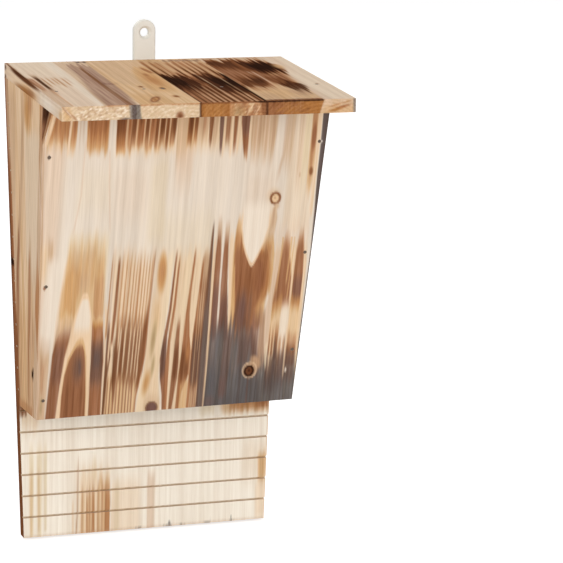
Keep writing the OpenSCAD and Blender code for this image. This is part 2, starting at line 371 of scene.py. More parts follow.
FRONT_MARKS: tuple[Mark, ...] = (
    # soft washes
    Streak(Tone.BLUSH, ((8, -131, -108), (140, -128, -110), (230, -124, -113), (297, -121, -114)), 0.7,
           (0, 0), (1, 8)),
    Streak(Tone.STRAW, ((50, -30, -15), (145, -30, -15)), 0.45, (20, 20), (8, 5)),
    Streak(Tone.BLUSH, ((10, -12, 8), (110, -6, 6)), 0.7, (0, 50), (5, 5)),
    Streak(Tone.STRAW, ((95, -20, 30), (160, -20, 30)), 0.3, (30, 20), (8, 8)),
    Streak(Tone.WHEAT, ((8, -64, 60), (62, -64, 60)), 0.75, (0, 22), (3, 6)),
    Streak(Tone.BLUSH, ((60, -62, -34), (130, -62, -30)), 0.25, (20, 30), (10, 10)),
    Streak(Tone.BLUSH, ((66, 58, 84), (140, 58, 80)), 0.3, (20, 30), (10, 10)),
    Streak(Tone.STRAW, ((60, -92, -66), (120, -98, -66)), 0.2, (20, 30), (8, 8)),
    Streak(Tone.WHEAT, ((8, 96, 112), (140, 95, 121)), 0.35, (0, 20), (4, 2), 14, 0.4, 0.8),
    Streak(Tone.BLUSH, ((110, 90, 121), (150, 90, 121)), 0.4, (24, 6), (4, 2), 14, 0.4),
    Streak(Tone.WHEAT, ((126, -127, -112), (180, -125, -118)), 0.7, (20, 20), (3, 5)),
    Streak(Tone.FAWN, ((122, -119, -114.5), (165, -117.4, -113)), 0.55, (15, 15), (2, 2)),
    Streak(Tone.FAWN, ((20, -129, -127.2), (75, -127.6, -126.1), (130, -125, -123.6), (200, -123.4, -122),
                       (297, -120, -118.8)), 0.7, (5, 0)),
    Streak(Tone.TAN, ((226, -121.4, -112), (250, -120, -111.6), (297, -118.6, -112.8)), 1.0, (16, 0), (1, 1.4), 10,
           0.35),
    Streak(Tone.GINGER, ((236, -119.6, -115), (262, -118.6, -115.6), (280, -117.6, -115.4)), 0.6, (16, 14), (2, 2)),
    Comb(Tone.FAWN, 232, ((-119, -117.6, 297), (-115.4, -114.2, 297)), strength=0.6, fade=(14, 0), taper=0),
    Spot(Tone.OLIVE, (-116.4, 285), (1.8, 12), 0.7, 0.9),
    Streak(Tone.BLUSH, ((40, -91.5, -90.3), (90, -92.5, -91.2), (130, -98.5, -97)), 0.6, (5, 10)),
    Streak(Tone.BLUSH, ((50, -69.5, -68.3), (80, -68, -66.8), (130, -64, -62.8)), 0.7, (5, 10)),
    Streak(Tone.CREAM, ((140, -118, -101), (185, -120, -104), (228, -121.4, -108.4)), 0.95, (14, 12), (5, 1.4), 8),
    Streak(Tone.PEACH, ((146, -102, -100), (200, -107.4, -105.4), (235, -109.4, -108)), 0.5, (10, 6)),
    # the band under the roof, left to right
    Streak(Tone.HONEY, ((8, -123, -105), (60, -125.8, -107)), 0.8, (0, 26), (2, 1.4), 8, 0.4, 0.6),
    Streak(Tone.TOAST, ((8, -122, -105), (54, -125, -106.6)), 0.9, (0, 26), (2, 1.4), 8, 0.4, 0.9),
    Comb(Tone.SIENNA, 8, ((-119, -116.6, 46), (-115, -112.8, 45), (-111, -109, 48), (-107.6, -105.4, 42)),
         strength=0.65, fade=(0, 22)),
    Streak(Tone.PEACH, ((8, -118, -114), (20, -121.8, -118.4), (48, -128, -125.4)), 1.0, (0, 6), (1, 1), 2, 0.1),
    # the black wedge at the chipped corner: partly char, partly painted shade in the recess
    Streak(Tone.COAL, ((6, -131, -123.6), (18, -131, -125), (32, -131, -128)), 1.0, (0, 8), (0.5, 1.2), 2),
    Streak(Tone.HONEY, ((8, -103.8, -98.2), (59, -105.2, -99.8)), 0.85, (0, 18)),
    Streak(Tone.TOAST, ((8, -103.4, -98.4), (53, -104.8, -99.6)), 0.95, (0, 20)),
    Comb(Tone.RUSSET, 8, ((-102.4, -100, 46),), strength=0.75, fade=(0, 20)),
    Comb(Tone.FAWN, 8, ((-97, -95.6, 58), (-94, -92.8, 54)), strength=0.5, fade=(0, 24)),
    Streak(Tone.PEACH, ((20, -104.8, -103), (58, -107.6, -106)), 0.9, (0, 8)),
    Streak(Tone.AMBER, ((8, -91, -70.4), (59, -89.4, -70.8)), 0.9, (0, 12), (1.2, 1.2), 8),
    Streak(Tone.TOAST, ((8, -90.6, -70.8), (54, -89, -71.2)), 0.9, (0, 20), (1.2, 1.2), 7, 0.4, 0.6),
    Streak(Tone.SIENNA, ((8, -90, -71.2), (46, -88.8, -71.6)), 0.8, (0, 22), (1.2, 1.2), 7, 0.4, 1.6),
    Comb(Tone.RUSSET, 8, ((-89.4, -86.4, 42), (-84, -82, 46), (-79, -77.6, 38), (-75, -73, 47)), strength=0.6,
         fade=(0, 22)),
    Streak(Tone.HONEY, ((8, -64.8, -54.6), (59, -63.4, -55)), 1.0, (0, 9)),
    Streak(Tone.TOAST, ((8, -64.8, -54.6), (56, -63.4, -55)), 1.0, (0, 11)),
    Streak(Tone.UMBER, ((8, -64.6, -55), (52, -63.6, -55.2)), 1.0, (0, 20), grain=0.4),
    Comb(Tone.COCOA, 8, ((-63.4, -61.8, 46), (-60.4, -57, 42)), strength=0.7, fade=(0, 20)),
    Streak(Tone.HONEY, ((8, -53.6, -10), (59, -54.4, -13)), 0.8, (0, 18), (1, 1), 10, 0.3, 0.6),
    Streak(Tone.GINGER, ((8, -53.6, -10), (55, -54.2, -13)), 0.7, (0, 16), (1, 1), 9, 0.3, 1),
    Comb(Tone.SIENNA, 8, ((-53.6, -50.8, 49), (-44.6, -38.8, 53), (-33.4, -29, 51)), strength=0.95, lean=-0.02,
         taper=0.15, fade=(0, 18)),
    Comb(Tone.UMBER, 8, ((-50.2, -45.8, 53), (-37.6, -34.2, 48), (-28.6, -25.6, 53), (-24.6, -19.8, 50),
                         (-19.2, -16.3, 57), (-14.8, -9.8, 51)), lean=-0.03, taper=0.15, fade=(0, 19)),
    Comb(Tone.COCOA, 8, ((-49, -46.6, 48), (-43.4, -40.6, 40), (-23.6, -21, 45), (-13.4, -10.6, 44),
                         (-36.8, -35.2, 42), (-32.2, -30.4, 38)), lean=-0.03, strength=0.65, fade=(0, 20)),
    Comb(Tone.PEACH, 8, ((-54.8, -54, 56), (-45.6, -44.8, 56), (-38.6, -37.8, 54), (-34, -33.4, 54),
                         (-25.6, -24.8, 54), (-19.9, -19.2, 56), (-16.2, -15.3, 58)), lean=-0.03, strength=0.8,
         taper=0, edge=(0.7, 0.7)),
    Streak(Tone.TAN, ((8, -10, 0), (74, -9, 0)), 0.85, (0, 34), (1, 1)),
    Streak(Tone.HONEY, ((8, 0, 10), (55, -1, 8)), 0.6, (0, 14)),
    Comb(Tone.TOAST, 8, ((0.6, 5.6, 54), (6.4, 9.8, 52)), lean=-0.03, taper=0.3, fade=(0, 12)),
    Comb(Tone.UMBER, 8, ((0.8, 5.4, 51), (6.6, 9.6, 48)), lean=-0.03, taper=0.3, fade=(0, 18)),
    Comb(Tone.COCOA, 8, ((1.6, 4.4, 44), (6.8, 8.6, 41)), strength=0.7, lean=-0.03, fade=(0, 18)),
    Streak(Tone.FAWN, ((8, 9.8, 18.4), (54, 9, 18)), 0.7, (0, 24), (1, 1), 6, 0.4),
    Comb(Tone.SIENNA, 8, ((13.6, 16.2, 50),), strength=0.55, fade=(0, 20)),
    Streak(Tone.UMBER, ((8, 18.6, 23.6), (30, 19, 23), (56, 20.2, 21.6)), 1.0, (0, 14)),
    Streak(Tone.FAWN, ((8, 23, 28), (56, 23, 26)), 0.8, (0, 18), (1, 1), 6, 0.4),
    Streak(Tone.PLUM, ((8, 28, 32.4), (36, 28.8, 32.4), (61, 30.6, 32)), 1.0, (0, 13)),
    Comb(Tone.PEACH, 8, ((32.6, 33.6, 62), (39.6, 40.8, 62), (45.6, 47.4, 62)), strength=0.8, taper=0),
    Streak(Tone.FAWN, ((8, 33.8, 39.4), (60, 35, 39)), 0.95, (0, 18)),
    Comb(Tone.RUSSET, 8, ((34.5, 38.5, 54),), strength=0.75, fade=(0, 14)),
    Streak(Tone.RUSSET, ((8, 41, 45.6), (61, 42.4, 44.6)), 0.95, (0, 17)),
    Comb(Tone.UMBER, 8, ((42, 44.6, 50),), strength=0.6, fade=(0, 14)),
    Streak(Tone.TOAST, ((40, 51, 56.4), (68, 53.8, 56.2)), 0.85, (8, 9)),
    Streak(Tone.RUSSET, ((8, 47, 56.6), (30, 48.4, 56.2), (42, 50.2, 56), (63, 53.2, 55.6)), 1.0, (0, 10)),
    Streak(Tone.PLUM, ((8, 47.4, 56.4), (30, 49, 56), (50, 52, 55.6)), 0.7, (0, 14)),
    Streak(Tone.TAN, ((8, 57, 83), (76, 60, 80)), 0.9, (0, 32), (1.5, 3), 10, 0.3),
    Comb(Tone.FAWN, 8, ((58.4, 60, 62), (61, 63.4, 70), (64.4, 67, 64), (68.4, 70, 58), (71.4, 73.8, 70),
                        (77.4, 80, 64)), strength=0.8, fade=(0, 26)),
    Streak(Tone.TAN, ((8, 91.5, 99), (82, 90, 97)), 0.75, (0, 32), (1, 4)),
    Streak(Tone.FAWN, ((8, 89.4, 92), (60, 88.6, 91.2), (75, 86, 88.6), (92, 84.4, 86)), 0.5, (0, 24), (2, 2)),
    Streak(Tone.TAN, ((8, 102.6, 107.4), (104, 103.6, 108)), 0.7, (0, 40), (1.5, 1.5), 8, 0.5),
    Spot(Tone.FAWN, (107, 79), (1.2, 4), 0.6, 0.8),
    Streak(Tone.STRAW, ((8, 108, 114), (110, 108, 113)), 0.8, (0, 50), (2, 2)),
    Streak(Tone.HONEY, ((20, 114, 119.6), (108, 114.2, 119.8)), 0.85, (0, 30), strands=0.4),
    Streak(Tone.SIENNA, ((20, 114.6, 119), (100, 115, 119)), 0.7, (0, 50), (1.4, 1.4), 10, 0.4, 0.8),
    Spot(Tone.RUSSET, (117, 44), (2.8, 18), 0.9),
    Spot(Tone.UMBER, (117.2, 76), (2.6, 5.4), 0.85),
    Streak(Tone.PEACH, ((8, 119.6, 123.4), (120, 119, 122)), 0.9, (0, 10)),
    Streak(Tone.SOOT, ((8, 123.4, 131), (50, 123.8, 130), (80, 123.4, 128), (112, 124, 127), (150, 124, 126),
                       (297, 119.2, 122)), 1.0, (0, 0), (0.9, 0.3), 0, 0.1),
    # painted glint: a pale spot where the upper right nail head catches the light
    Spot(Tone.CREAM, (124.3, 49), (1.4, 1.8), 0.9),
    # the ring knot and the flame shape under it
    Spot(Tone.HONEY, (84.4, 98), (9, 11), 0.5, 0.9),
    Spot(Tone.WHEAT, (86, 99.8), (5, 5.4), 0.9),
    Ring(Tone.RUSSET, (86, 99.8), (4.3, 4.8), 1.7, 0.95),
    Ring(Tone.UMBER, (86.4, 100.2), (4.3, 4.8), 0.9, 0.6),
    Spot(Tone.FAWN, (85.6, 99.4), (1.6, 1.6), 0.7),
    Spot(Tone.TAN, (88.6, 107), (3.4, 5), 0.7, 0.9),
    Streak(Tone.TAN, ((104, 84.6, 87.4), (118, 83.6, 89.6), (134, 82, 88), (150, 83, 88)), 0.85, (3, 8), (2, 2)),
    Streak(Tone.FAWN, ((107, 85, 87), (130, 84.4, 87)), 0.6, (3, 8), (1.5, 1.5)),
    # the brown field with the pale tongue
    Streak(Tone.HONEY, ((112, 53.6, 60), (128, 52, 66), (140, 51.2, 72), (152, 51, 84), (166, 51, 90), (200, 52, 85),
                        (225, 52, 85)), 0.95, (14, 12), (1, 3)),
    Streak(Tone.HONEY, ((122, 80, 86.4), (138, 76, 88), (152, 70, 90), (194, 72, 89.6)), 0.95, (22, 14), (3, 2.5), 8,
           0.4, 0.6),
    Streak(Tone.TOAST, ((124, 53, 60), (140, 52, 70), (154, 52.4, 84), (172, 52.6, 87), (190, 54, 86), (200, 56, 82),
                        (226, 56, 83)), 0.9, (14, 10), (1.5, 4)),
    Streak(Tone.TOAST, ((130, 79, 84.6), (146, 75, 87), (180, 72, 87.4), (196, 72, 86)), 0.8, (18, 14), (3, 3), 10, 0.4,
           0.6),
    Streak(Tone.RUSSET, ((136, 55, 62), (150, 53.4, 70), (160, 53.4, 80), (175, 54.6, 82), (192, 56.8, 80),
                         (203, 57.4, 76), (248, 56, 80)), 0.95, (16, 24), (2, 5), 12, 0.35),
    Streak(Tone.RUSSET, ((138, 78, 83), (152, 74, 85), (178, 74, 85), (196, 74, 83)), 0.7, (14, 18), (3, 4), 12, 0.4,
           0.8),
    Spot(Tone.UMBER, (68, 178), (11, 24), 0.5, 0.9),
    Spot(Tone.PLUM, (64, 205), (8, 28), 0.85, 0.8),
    Comb(Tone.SEPIA, 176, ((58, 60.4, 225), (63, 66, 230), (70, 73, 232)), strength=0.5, fade=(22, 10), edge=(2, 2)),
    Streak(Tone.HONEY, ((156, 50.8, 53.6), (190, 52.6, 56), (205, 53, 57), (228, 51.8, 54.4)), 0.9, (10, 8)),
    Streak(Tone.HONEY, ((188, 77, 84), (224, 79.4, 85)), 0.8, (16, 18), (4, 3), 10, 0.4),
    Streak(Tone.PEACH, ((104, 56.4, 84), (126, 56.6, 83.4), (140, 59, 79.8), (150, 62.2, 76), (157, 65.2, 73.2),
                        (161, 67.2, 71.2), (163, 68.6, 69.8)), 1.0, (16, 0.5), (1.2, 1.2), 0, 0.1),
    Streak(Tone.CREAM, ((96, 57, 82), (126, 57.8, 82), (140, 60.4, 78.4), (150, 63.8, 74.4), (156.6, 67, 71.4),
                        (159, 68.6, 69.8)), 1.0, (16, 0.5), (1.6, 1.6), 0, 0.1),
    # the tan and orange field at the left, its pale flame and the dark tongues
    Streak(Tone.STRAW, ((118, -100, -64), (160, -101, -64), (205, -105, -64)), 0.75, (22, 10), (4, 3)),
    Streak(Tone.HONEY, ((124, -98, -68), (150, -101, -66), (180, -104, -65.6), (205, -105.4, -65), (222, -106, -64)),
           0.88, (34, 14), (4, 3), 20, 0.4),
    Comb(Tone.AMBER, 140, ((-98, -95, 205), (-90.4, -88.4, 190), (-85, -82, 176), (-78.6, -76, 186), (-73, -68, 214)),
         strength=0.45, fade=(24, 16), edge=(3, 3), taper=0),
    Streak(Tone.AMBER, ((146, -100, -86), (176, -103, -88), (208, -105, -92)), 0.6, (26, 18), (4, 4), 14, 0.4, 1),
    Streak(Tone.GINGER, ((150, -76, -66), (190, -75, -65.4), (210, -75, -65)), 0.55, (28, 10), (4, 2), 14, 0.4, 1),
    Spot(Tone.FAWN, (-84, 170), (9, 18), 0.5, 0.9),
    Streak(Tone.FAWN, ((132, -96, -68), (170, -98, -68)), 0.35, (26, 26), (6, 5), 18, 0.4, 1.4),
    Streak(Tone.FAWN, ((200, -105.5, -92), (240, -108.8, -96)), 0.9, (20, 4)),
    Streak(Tone.RUSSET, ((208, -101, -92.4), (222, -106, -93.2), (236, -109, -95.6), (250, -109.6, -98.4),
                         (265, -110.4, -100.6), (297, -112, -102.6)), 1.0, (20, 0), (1.2, 1)),
    Streak(Tone.UMBER, ((214, -107, -93.6), (236, -109, -96), (297, -112, -102.8)), 0.3, (16, 0), (2, 2)),
    Streak(Tone.PLUM, ((220, -106, -97), (250, -108, -99), (268, -109, -101)), 0.5, (14, 14), (3, 2)),
    Comb(Tone.COCOA, 226, ((-100.4, -98.8, 262), (-104, -102.6, 270)), strength=0.45, fade=(12, 14), lean=-0.09),
    Streak(Tone.PEACH, ((179, -84, -80.6), (184, -85.6, -79), (188, -87, -78), (200, -90.4, -75.6), (215, -93.2, -74.4),
                        (225, -94.8, -74.4), (240, -97.8, -74), (260, -99.8, -73.4), (280, -101.4, -73),
                        (297, -102.6, -72.8)), 1.0, (1.5, 0), (1.2, 1.2), 0, 0.1),
    Streak(Tone.CREAM, ((184, -84, -80), (190, -86, -78.6), (202, -89, -76.6), (222, -92, -76.4)), 0.9, (3, 14),
           (2, 2), 0, 0.1),
    Streak(Tone.HONEY, ((220, -85.6, -82.4), (230, -90, -79.6), (240, -94.4, -77.8), (256, -97.2, -77),
                        (276, -98.6, -75.8), (297, -98.8, -75.4)), 1.0, (7, 0), (1.4, 1.4)),
    Streak(Tone.RUSSET, ((226, -85.4, -82.6), (234, -89.6, -80), (242, -93.4, -78.8), (256, -96.8, -77.6),
                         (276, -98.4, -76.4), (297, -98.6, -75.8)), 1.0, (8, 0), (1, 1)),
    Spot(Tone.SEPIA, (-85, 250), (8, 24), 0.7, 0.95),
    Streak(Tone.SOOT, ((240, -85, -83), (262, -83, -81)), 0.6, (8, 8), (1.4, 1.4)),
    Streak(Tone.UMBER, ((250, -96, -77.8), (297, -98.4, -76)), 0.25, (24, 0), (3, 2), strands=0.4),
    Comb(Tone.COCOA, 262, ((-94, -92, 297), (-88, -87, 297), (-81, -79.4, 297)), strength=0.4, fade=(14, 0)),
    Streak(Tone.AMBER, ((203, -74.4, -64.8), (216, -74.4, -64)), 1.0, (8, 3)),
    Streak(Tone.SIENNA, ((208, -74.4, -65), (225, -74.2, -63), (245, -73.6, -61.8), (265, -73.2, -62),
                         (297, -72.6, -61.2)), 1.0, (8, 0), (0.9, 0.9)),
    Streak(Tone.SEPIA, ((218, -74, -64), (245, -73.4, -62.4), (278, -73, -62.4)), 0.85, (16, 22), (0.9, 0.9)),
    Streak(Tone.SOOT, ((230, -71, -65), (256, -71, -65)), 0.6, (10, 12), (3, 3)),
    Streak(Tone.RUSSET, ((262, -73, -62.6), (297, -72.4, -61.8)), 0.6, (14, 0)),
    Streak(Tone.PEACH, ((186, -64, -62.2), (220, -62.4, -60.8), (250, -61.6, -60.2), (297, -61, -59.8)), 0.95,
           (14, 0), (0.7, 0.7)),
    # the zone of narrow streaks
    Streak(Tone.WHEAT, ((132, -59, -20), (200, -57, -24), (297, -59, -30)), 0.55, (30, 0), (2, 2), 16),
    Streak(Tone.PEACH, ((140, -59, -20), (200, -57, -24), (262, -59, -28)), 0.4, (30, 10), (2, 2), 16, 0.6, 1),
    Streak(Tone.HONEY, ((246, -59, -25), (297, -59, -31)), 0.7, (24, 0), (2, 2), 6, 0.4),
    Comb(Tone.FAWN, 134, ((-58.2, -56.6, 222), (-51, -49.4, 215), (-44.4, -43.4, 215), (-34.8, -33.4, 222)),
         lean=-0.02, strength=0.6, fade=(24, 10), taper=-0.3),
    Comb(Tone.TOAST, 138, ((-59.7, -58.6, 226), (-49.6, -48.7, 220), (-46.1, -45, 220), (-42.7, -41.5, 220),
                           (-39.3, -38.2, 220), (-36.6, -35.6, 220), (-33.8, -32.4, 220), (-30.6, -29.6, 222),
                           (-28, -27, 222), (-25.4, -24.4, 224), (-22.9, -21.8, 226)), lean=-0.024, fade=(24, 8),
         taper=-0.5, strength=0.85, edge=(0.8, 0.8)),
    Streak(Tone.RUSSET, ((144, -54, -52), (200, -55.8, -53), (234, -56.8, -54.8)), 1.0, (14, 10)),
    Streak(Tone.COCOA, ((204, -59.9, -58.2), (225, -60.2, -56.8), (240, -60.2, -55.6), (262, -60.2, -57.4),
                        (297, -60.2, -58.2)), 0.95, (20, 0)),
    Comb(Tone.UMBER, 198, ((-51.4, -47.4, 278), (-46.4, -43, 274), (-42, -38.2, 276), (-37.4, -34.8, 276),
                           (-34.2, -31.8, 280), (-31.2, -29.2, 276), (-28.8, -27, 262)), lean=-0.024,
         fade=(26, 18), taper=-0.15, strength=0.88),
    Streak(Tone.COCOA, ((220, -54, -49.4), (258, -53.2, -49), (292, -50.8, -49)), 0.7, (18, 18)),
    Comb(Tone.COCOA, 220, ((-47, -43.6, 266), (-41.6, -38.6, 264), (-36.8, -35.2, 262), (-33.4, -32, 262)),
         lean=-0.024, fade=(18, 14), strength=0.4),
    Comb(Tone.PEACH, 204, ((-57.6, -56, 256), (-49.4, -48.2, 242), (-43.4, -42.4, 256), (-38.5, -37.6, 272),
                           (-34.9, -34.1, 266), (-31.9, -31.1, 262), (-29.5, -28.7, 266)), lean=-0.024, strength=0.9,
         fade=(12, 14), edge=(0.7, 0.7)),
    Streak(Tone.UMBER, ((184, -24.4, -22.8), (222, -27.4, -23.4), (248, -29, -24.4), (280, -31.6, -29.4)), 1.0,
           (30, 14)),
    Streak(Tone.SIENNA, ((138, -21.4, -20.2), (195, -23.4, -22), (240, -24.6, -23), (262, -27, -25.6),
                         (280, -30.6, -29), (297, -31, -29.4)), 0.8, (16, 0)),
    Comb(Tone.RUSSET, 256, ((-57.2, -56, 297), (-54.4, -53.2, 297), (-51.4, -50, 297), (-48.6, -47.4, 297),
                            (-45.6, -44.4, 297), (-42.4, -41.2, 297), (-39.6, -38.4, 297), (-36.8, -35.6, 297),
                            (-34.2, -33, 297)), strength=0.85, fade=(12, 0), taper=0.0, edge=(0.8, 0.8)),
    Comb(Tone.WHEAT, 262, ((-55.8, -54.8, 297), (-46.9, -46, 297), (-44, -43, 297), (-38.2, -37.2, 297),
                           (-32.9, -31.9, 297)), strength=0.8, fade=(10, 0), taper=0.0, edge=(0.8, 0.8)),
    # the teardrop and its knot at the bottom edge
    Streak(Tone.PALE, ((136, -20, -3), (200, -22.4, -5.4), (245, -22.8, -9.6), (262, -25, -9.4), (297, -29, -6)), 0.95,
           (18, 0), (1.4, 1.4), 0, 0.3),
    Streak(Tone.WHEAT, ((176, -20, -6), (262, -24, -10), (297, -29, -6)), 0.6, (20, 0), (3, 3), 6),
    Streak(Tone.VANILLA, ((140, -9, -3.4), (190, -11, -5), (240, -12, -9.6)), 0.8, (14, 20), (3, 1)),
    Streak(Tone.VANILLA, ((255, -26, -19), (297, -29, -22)), 0.7, (10, 0), (1, 3)),
    Spot(Tone.HONEY, (-13.5, 166), (6, 30), 0.9, 0.9),
    Spot(Tone.AMBER, (-13.5, 164), (5.4, 25), 0.95, 0.7),
    Spot(Tone.GINGER, (-13.5, 163), (4.2, 16), 0.6, 0.9),
    Spot(Tone.HONEY, (-15, 205), (5, 26), 0.4, 0.9),
    Spot(Tone.OLIVE, (-17, 226), (3.4, 26), 0.75, 0.9, 3),
    Spot(Tone.OLIVE, (-15.5, 252), (2.6, 16), 0.75, 0.9, 3),
    Spot(Tone.AMBER, (-20.6, 268), (4.8, 18), 0.85, 0.9, 8),
    Spot(Tone.TAN, (-14, 290), (10, 16), 0.6, 0.8),
    Spot(Tone.PLUM, (-14, 292.5), (6.2, 6.6), 1.0, 0.35),
    Ring(Tone.COCOA, (-14, 292.5), (5.4, 5.8), 1.0, 0.5),
    # the lines right of it
    Streak(Tone.WHEAT, ((136, -3, 36), (297, -3, 36)), 0.75, (24, 0), (2, 1), 14),
    Streak(Tone.RUSSET, ((140, -1.6, -0.2), (200, -4.6, -2.4), (225, -7.4, -4.4), (246, -9.6, -3.6), (262, -8.4, -3.2),
                         (280, -5.4, -2), (297, -4.2, -1.6)), 1.0, (14, 4)),
    Streak(Tone.SEPIA, ((218, -7.2, -4.6), (240, -9, -4.2), (270, -8.2, -4)), 0.85, (18, 16)),
    Streak(Tone.SIENNA, ((144, 1.4, 2.8), (195, -0.6, 1.6), (230, -3.4, -0.8), (262, -3.4, -0.4), (297, -2.2, 0.2)),
           1.0, (18, 0)),
    Comb(Tone.TAN, 150, ((7, 9, 226), (18.2, 19.4, 200)), lean=-0.03, strength=0.7, fade=(14, 14)),
    Streak(Tone.VANILLA, ((144, 9, 14.4), (200, 5, 10.6), (232, 6, 9)), 0.7, (12, 10), (2, 1)),
    Streak(Tone.RUSSET, ((202, 4.8, 7), (230, 3.4, 7.2), (250, 2.8, 8.4), (265, 2.4, 8), (297, 1.8, 4.8)), 1.0,
           (18, 0)),
    Streak(Tone.COCOA, ((226, 3.6, 7.4), (272, 3.2, 7.6)), 0.8, (16, 14)),
    Streak(Tone.SIENNA, ((140, 15.6, 17), (185, 12.8, 15), (205, 11.4, 15), (225, 10.8, 16.6), (240, 10.2, 19),
                         (262, 9, 18.6), (280, 8.8, 13), (297, 8.4, 11.4)), 1.0, (16, 0)),
    Streak(Tone.COCOA, ((230, 10.6, 17.6), (276, 9.2, 17.6)), 0.8, (16, 18), (1, 1.4), 8, 0.4),
    Spot(Tone.TOAST, (16, 241), (3, 16), 0.9, 0.9),
    Streak(Tone.HONEY, ((266, 11.6, 18.4), (297, 11.2, 18.4)), 0.9, (8, 0), grain=0.5),
    Streak(Tone.FAWN, ((140, 24.6, 28.8), (190, 21.4, 28.8), (225, 19.6, 28.8), (297, 18.6, 28.8)), 0.95, (16, 0),
           (1, 1), 6, 0.4),
    Streak(Tone.SIENNA, ((146, 23.4, 25), (190, 21.6, 24), (225, 19.6, 22.8), (262, 18.8, 21.4), (297, 18.4, 20.8)),
           0.95, (16, 0)),
    Comb(Tone.RUSSET, 160, ((25.2, 26.4, 297), (27.2, 28.4, 297), (23.2, 24.2, 297)), lean=-0.01, fade=(24, 0),
         strength=0.9),
    Streak(Tone.UMBER, ((200, 20.4, 28.6), (284, 19.2, 28.4)), 0.7, (28, 20), grain=0.45, strands=0.5),
    Streak(Tone.SEPIA, ((216, 20.4, 28.6), (280, 19.6, 28.4)), 0.75, (24, 20), grain=0.45, strands=0.6),
    Comb(Tone.SEPIA, 214, ((20.4, 22, 278), (25.2, 26.4, 280)), strength=0.6, fade=(16, 12)),
    Comb(Tone.WHEAT, 176, ((22.3, 23.2, 297), (24.5, 25.2, 244), (26.5, 27.3, 297)), strength=0.55, fade=(14, 8),
         edge=(0.8, 0.8)),
    Streak(Tone.SEPIA, ((114, 30.6, 31.2), (132, 30, 31.5), (150, 29.5, 32), (200, 28.2, 33.2), (250, 28, 34),
                        (297, 27.6, 34)), 1.0, (14, 0), (0.8, 0.8), 3),
    Streak(Tone.UMBER, ((118, 29.8, 31.2), (160, 28.8, 31), (206, 27.8, 30)), 0.6, (14, 20)),
    Streak(Tone.SLATE, ((190, 29.4, 32.6), (297, 29, 33.6)), 0.5, (34, 0)),
    Streak(Tone.PEACH, ((130, 32.4, 33.8), (200, 33.4, 34.8), (224, 34.2, 35.4)), 0.9, (8, 12), (0.8, 0.8)),
    Streak(Tone.TAN, ((214, 34.4, 35.5), (297, 34.4, 35.3)), 0.8, (10, 0), (0.7, 0.7)),
    Streak(Tone.FAWN, ((112, 34.8, 38.4), (150, 34.6, 40.2), (170, 34.8, 40.6)), 0.7, (16, 10)),
    Streak(Tone.RUSSET, ((124, 36, 38), (150, 34.8, 39.8), (190, 35, 40.8), (236, 35.4, 41.4)), 1.0, (18, 10)),
    Streak(Tone.PLUM, ((170, 35.6, 40), (236, 36, 41.4)), 0.85, (20, 10)),
    Streak(Tone.FAWN, ((114, 42, 45.6), (150, 41.8, 47), (170, 41.8, 48)), 0.7, (16, 10)),
    Streak(Tone.RUSSET, ((126, 42.8, 45), (150, 42, 46.4), (180, 42, 48.2), (200, 42.6, 49.6), (236, 43, 53.6)), 1.0,
           (18, 10)),
    Streak(Tone.PLUM, ((180, 43, 49), (236, 43.4, 53)), 0.85, (20, 10)),
    Comb(Tone.FAWN, 142, ((24.6, 26, 170), (16, 17, 165)), strength=0.6, fade=(12, 8)),
    Streak(Tone.PEACH, ((126, 47, 50.4), (150, 47.4, 51), (180, 49.4, 52.6), (200, 50.6, 53.4), (222, 52, 54)), 0.95,
           (14, 8), (0.8, 0.8)),
    # the right hand group of streaks
    Streak(Tone.WHEAT, ((136, 91, 121), (297, 89, 121)), 0.75, (20, 0), (2, 1), 10),
    Streak(Tone.BLUSH, ((140, 91.6, 97), (165, 91, 95.6), (185, 89.4, 93.6), (205, 86.4, 92), (225, 86.4, 92),
                          (240, 88, 92), (264, 90.4, 92.4)), 0.95, (14, 10), (1.6, 1.2), 4, 0.1),
    Streak(Tone.GINGER, ((126, 99.6, 103), (150, 96.8, 104.6), (175, 94.2, 108.6), (195, 92.4, 108.8),
                         (208, 92.6, 108)), 1.0, (20, 9), grain=0.3),
    Streak(Tone.RUSSET, ((136, 99.8, 102.4), (150, 98, 103.4), (175, 95.4, 108), (203, 93, 107.8)), 0.9, (16, 9),
           grain=0.5),
    Comb(Tone.HONEY, 142, ((96.2, 97.6, 190), (104.4, 105.8, 184), (107.4, 108.4, 200)), strength=0.85, lean=-0.04),
    Streak(Tone.PEACH, ((142, 108.8, 111), (200, 107.8, 109.6)), 0.9, (8, 6)),
    Streak(Tone.GINGER, ((124, 112.6, 115.6), (150, 110.6, 118.2), (175, 110, 119.2), (208, 109.6, 118.6)), 1.0,
           (20, 9), grain=0.3),
    Streak(Tone.RUSSET, ((134, 112.8, 115.4), (152, 111, 117.6), (175, 110.4, 119), (204, 110, 118.4)), 0.9, (16, 9),
           grain=0.45),
    Streak(Tone.PLUM, ((168, 111, 118.8), (202, 110.4, 118)), 0.65, (14, 10)),
    Streak(Tone.AMBER, ((186, 92.6, 102), (220, 92.2, 101)), 0.75, (16, 16), (1, 2), 12, 0.4, 0.5),
    Streak(Tone.AMBER, ((188, 109.6, 118.6), (216, 109.6, 118.4)), 0.75, (14, 14), (1.5, 1), 12, 0.4, 0.5),
    Streak(Tone.WHEAT, ((202, 92.2, 101), (244, 92, 101)), 0.9, (16, 14), (1, 1), 12, 0.4),
    Streak(Tone.CREAM, ((190, 101.4, 109.4), (236, 101, 109.6), (268, 103, 108.2)), 0.75, (20, 26), (2.6, 2.6), 16,
           0.1),
    Streak(Tone.WHEAT, ((198, 109.6, 119.8), (244, 109.6, 119.6)), 0.95, (18, 16), (1, 1), 16, 0.2),
    Comb(Tone.GINGER, 214, ((92.2, 93.6, 250), (94.6, 96.6, 252), (97.2, 101, 258)), fade=(18, 6), strength=0.9,
         taper=0),
    Comb(Tone.RUSSET, 226, ((92.4, 93.4, 250), (95, 96.4, 252), (97.6, 100.6, 258)), fade=(14, 6), strength=0.8,
         taper=0),
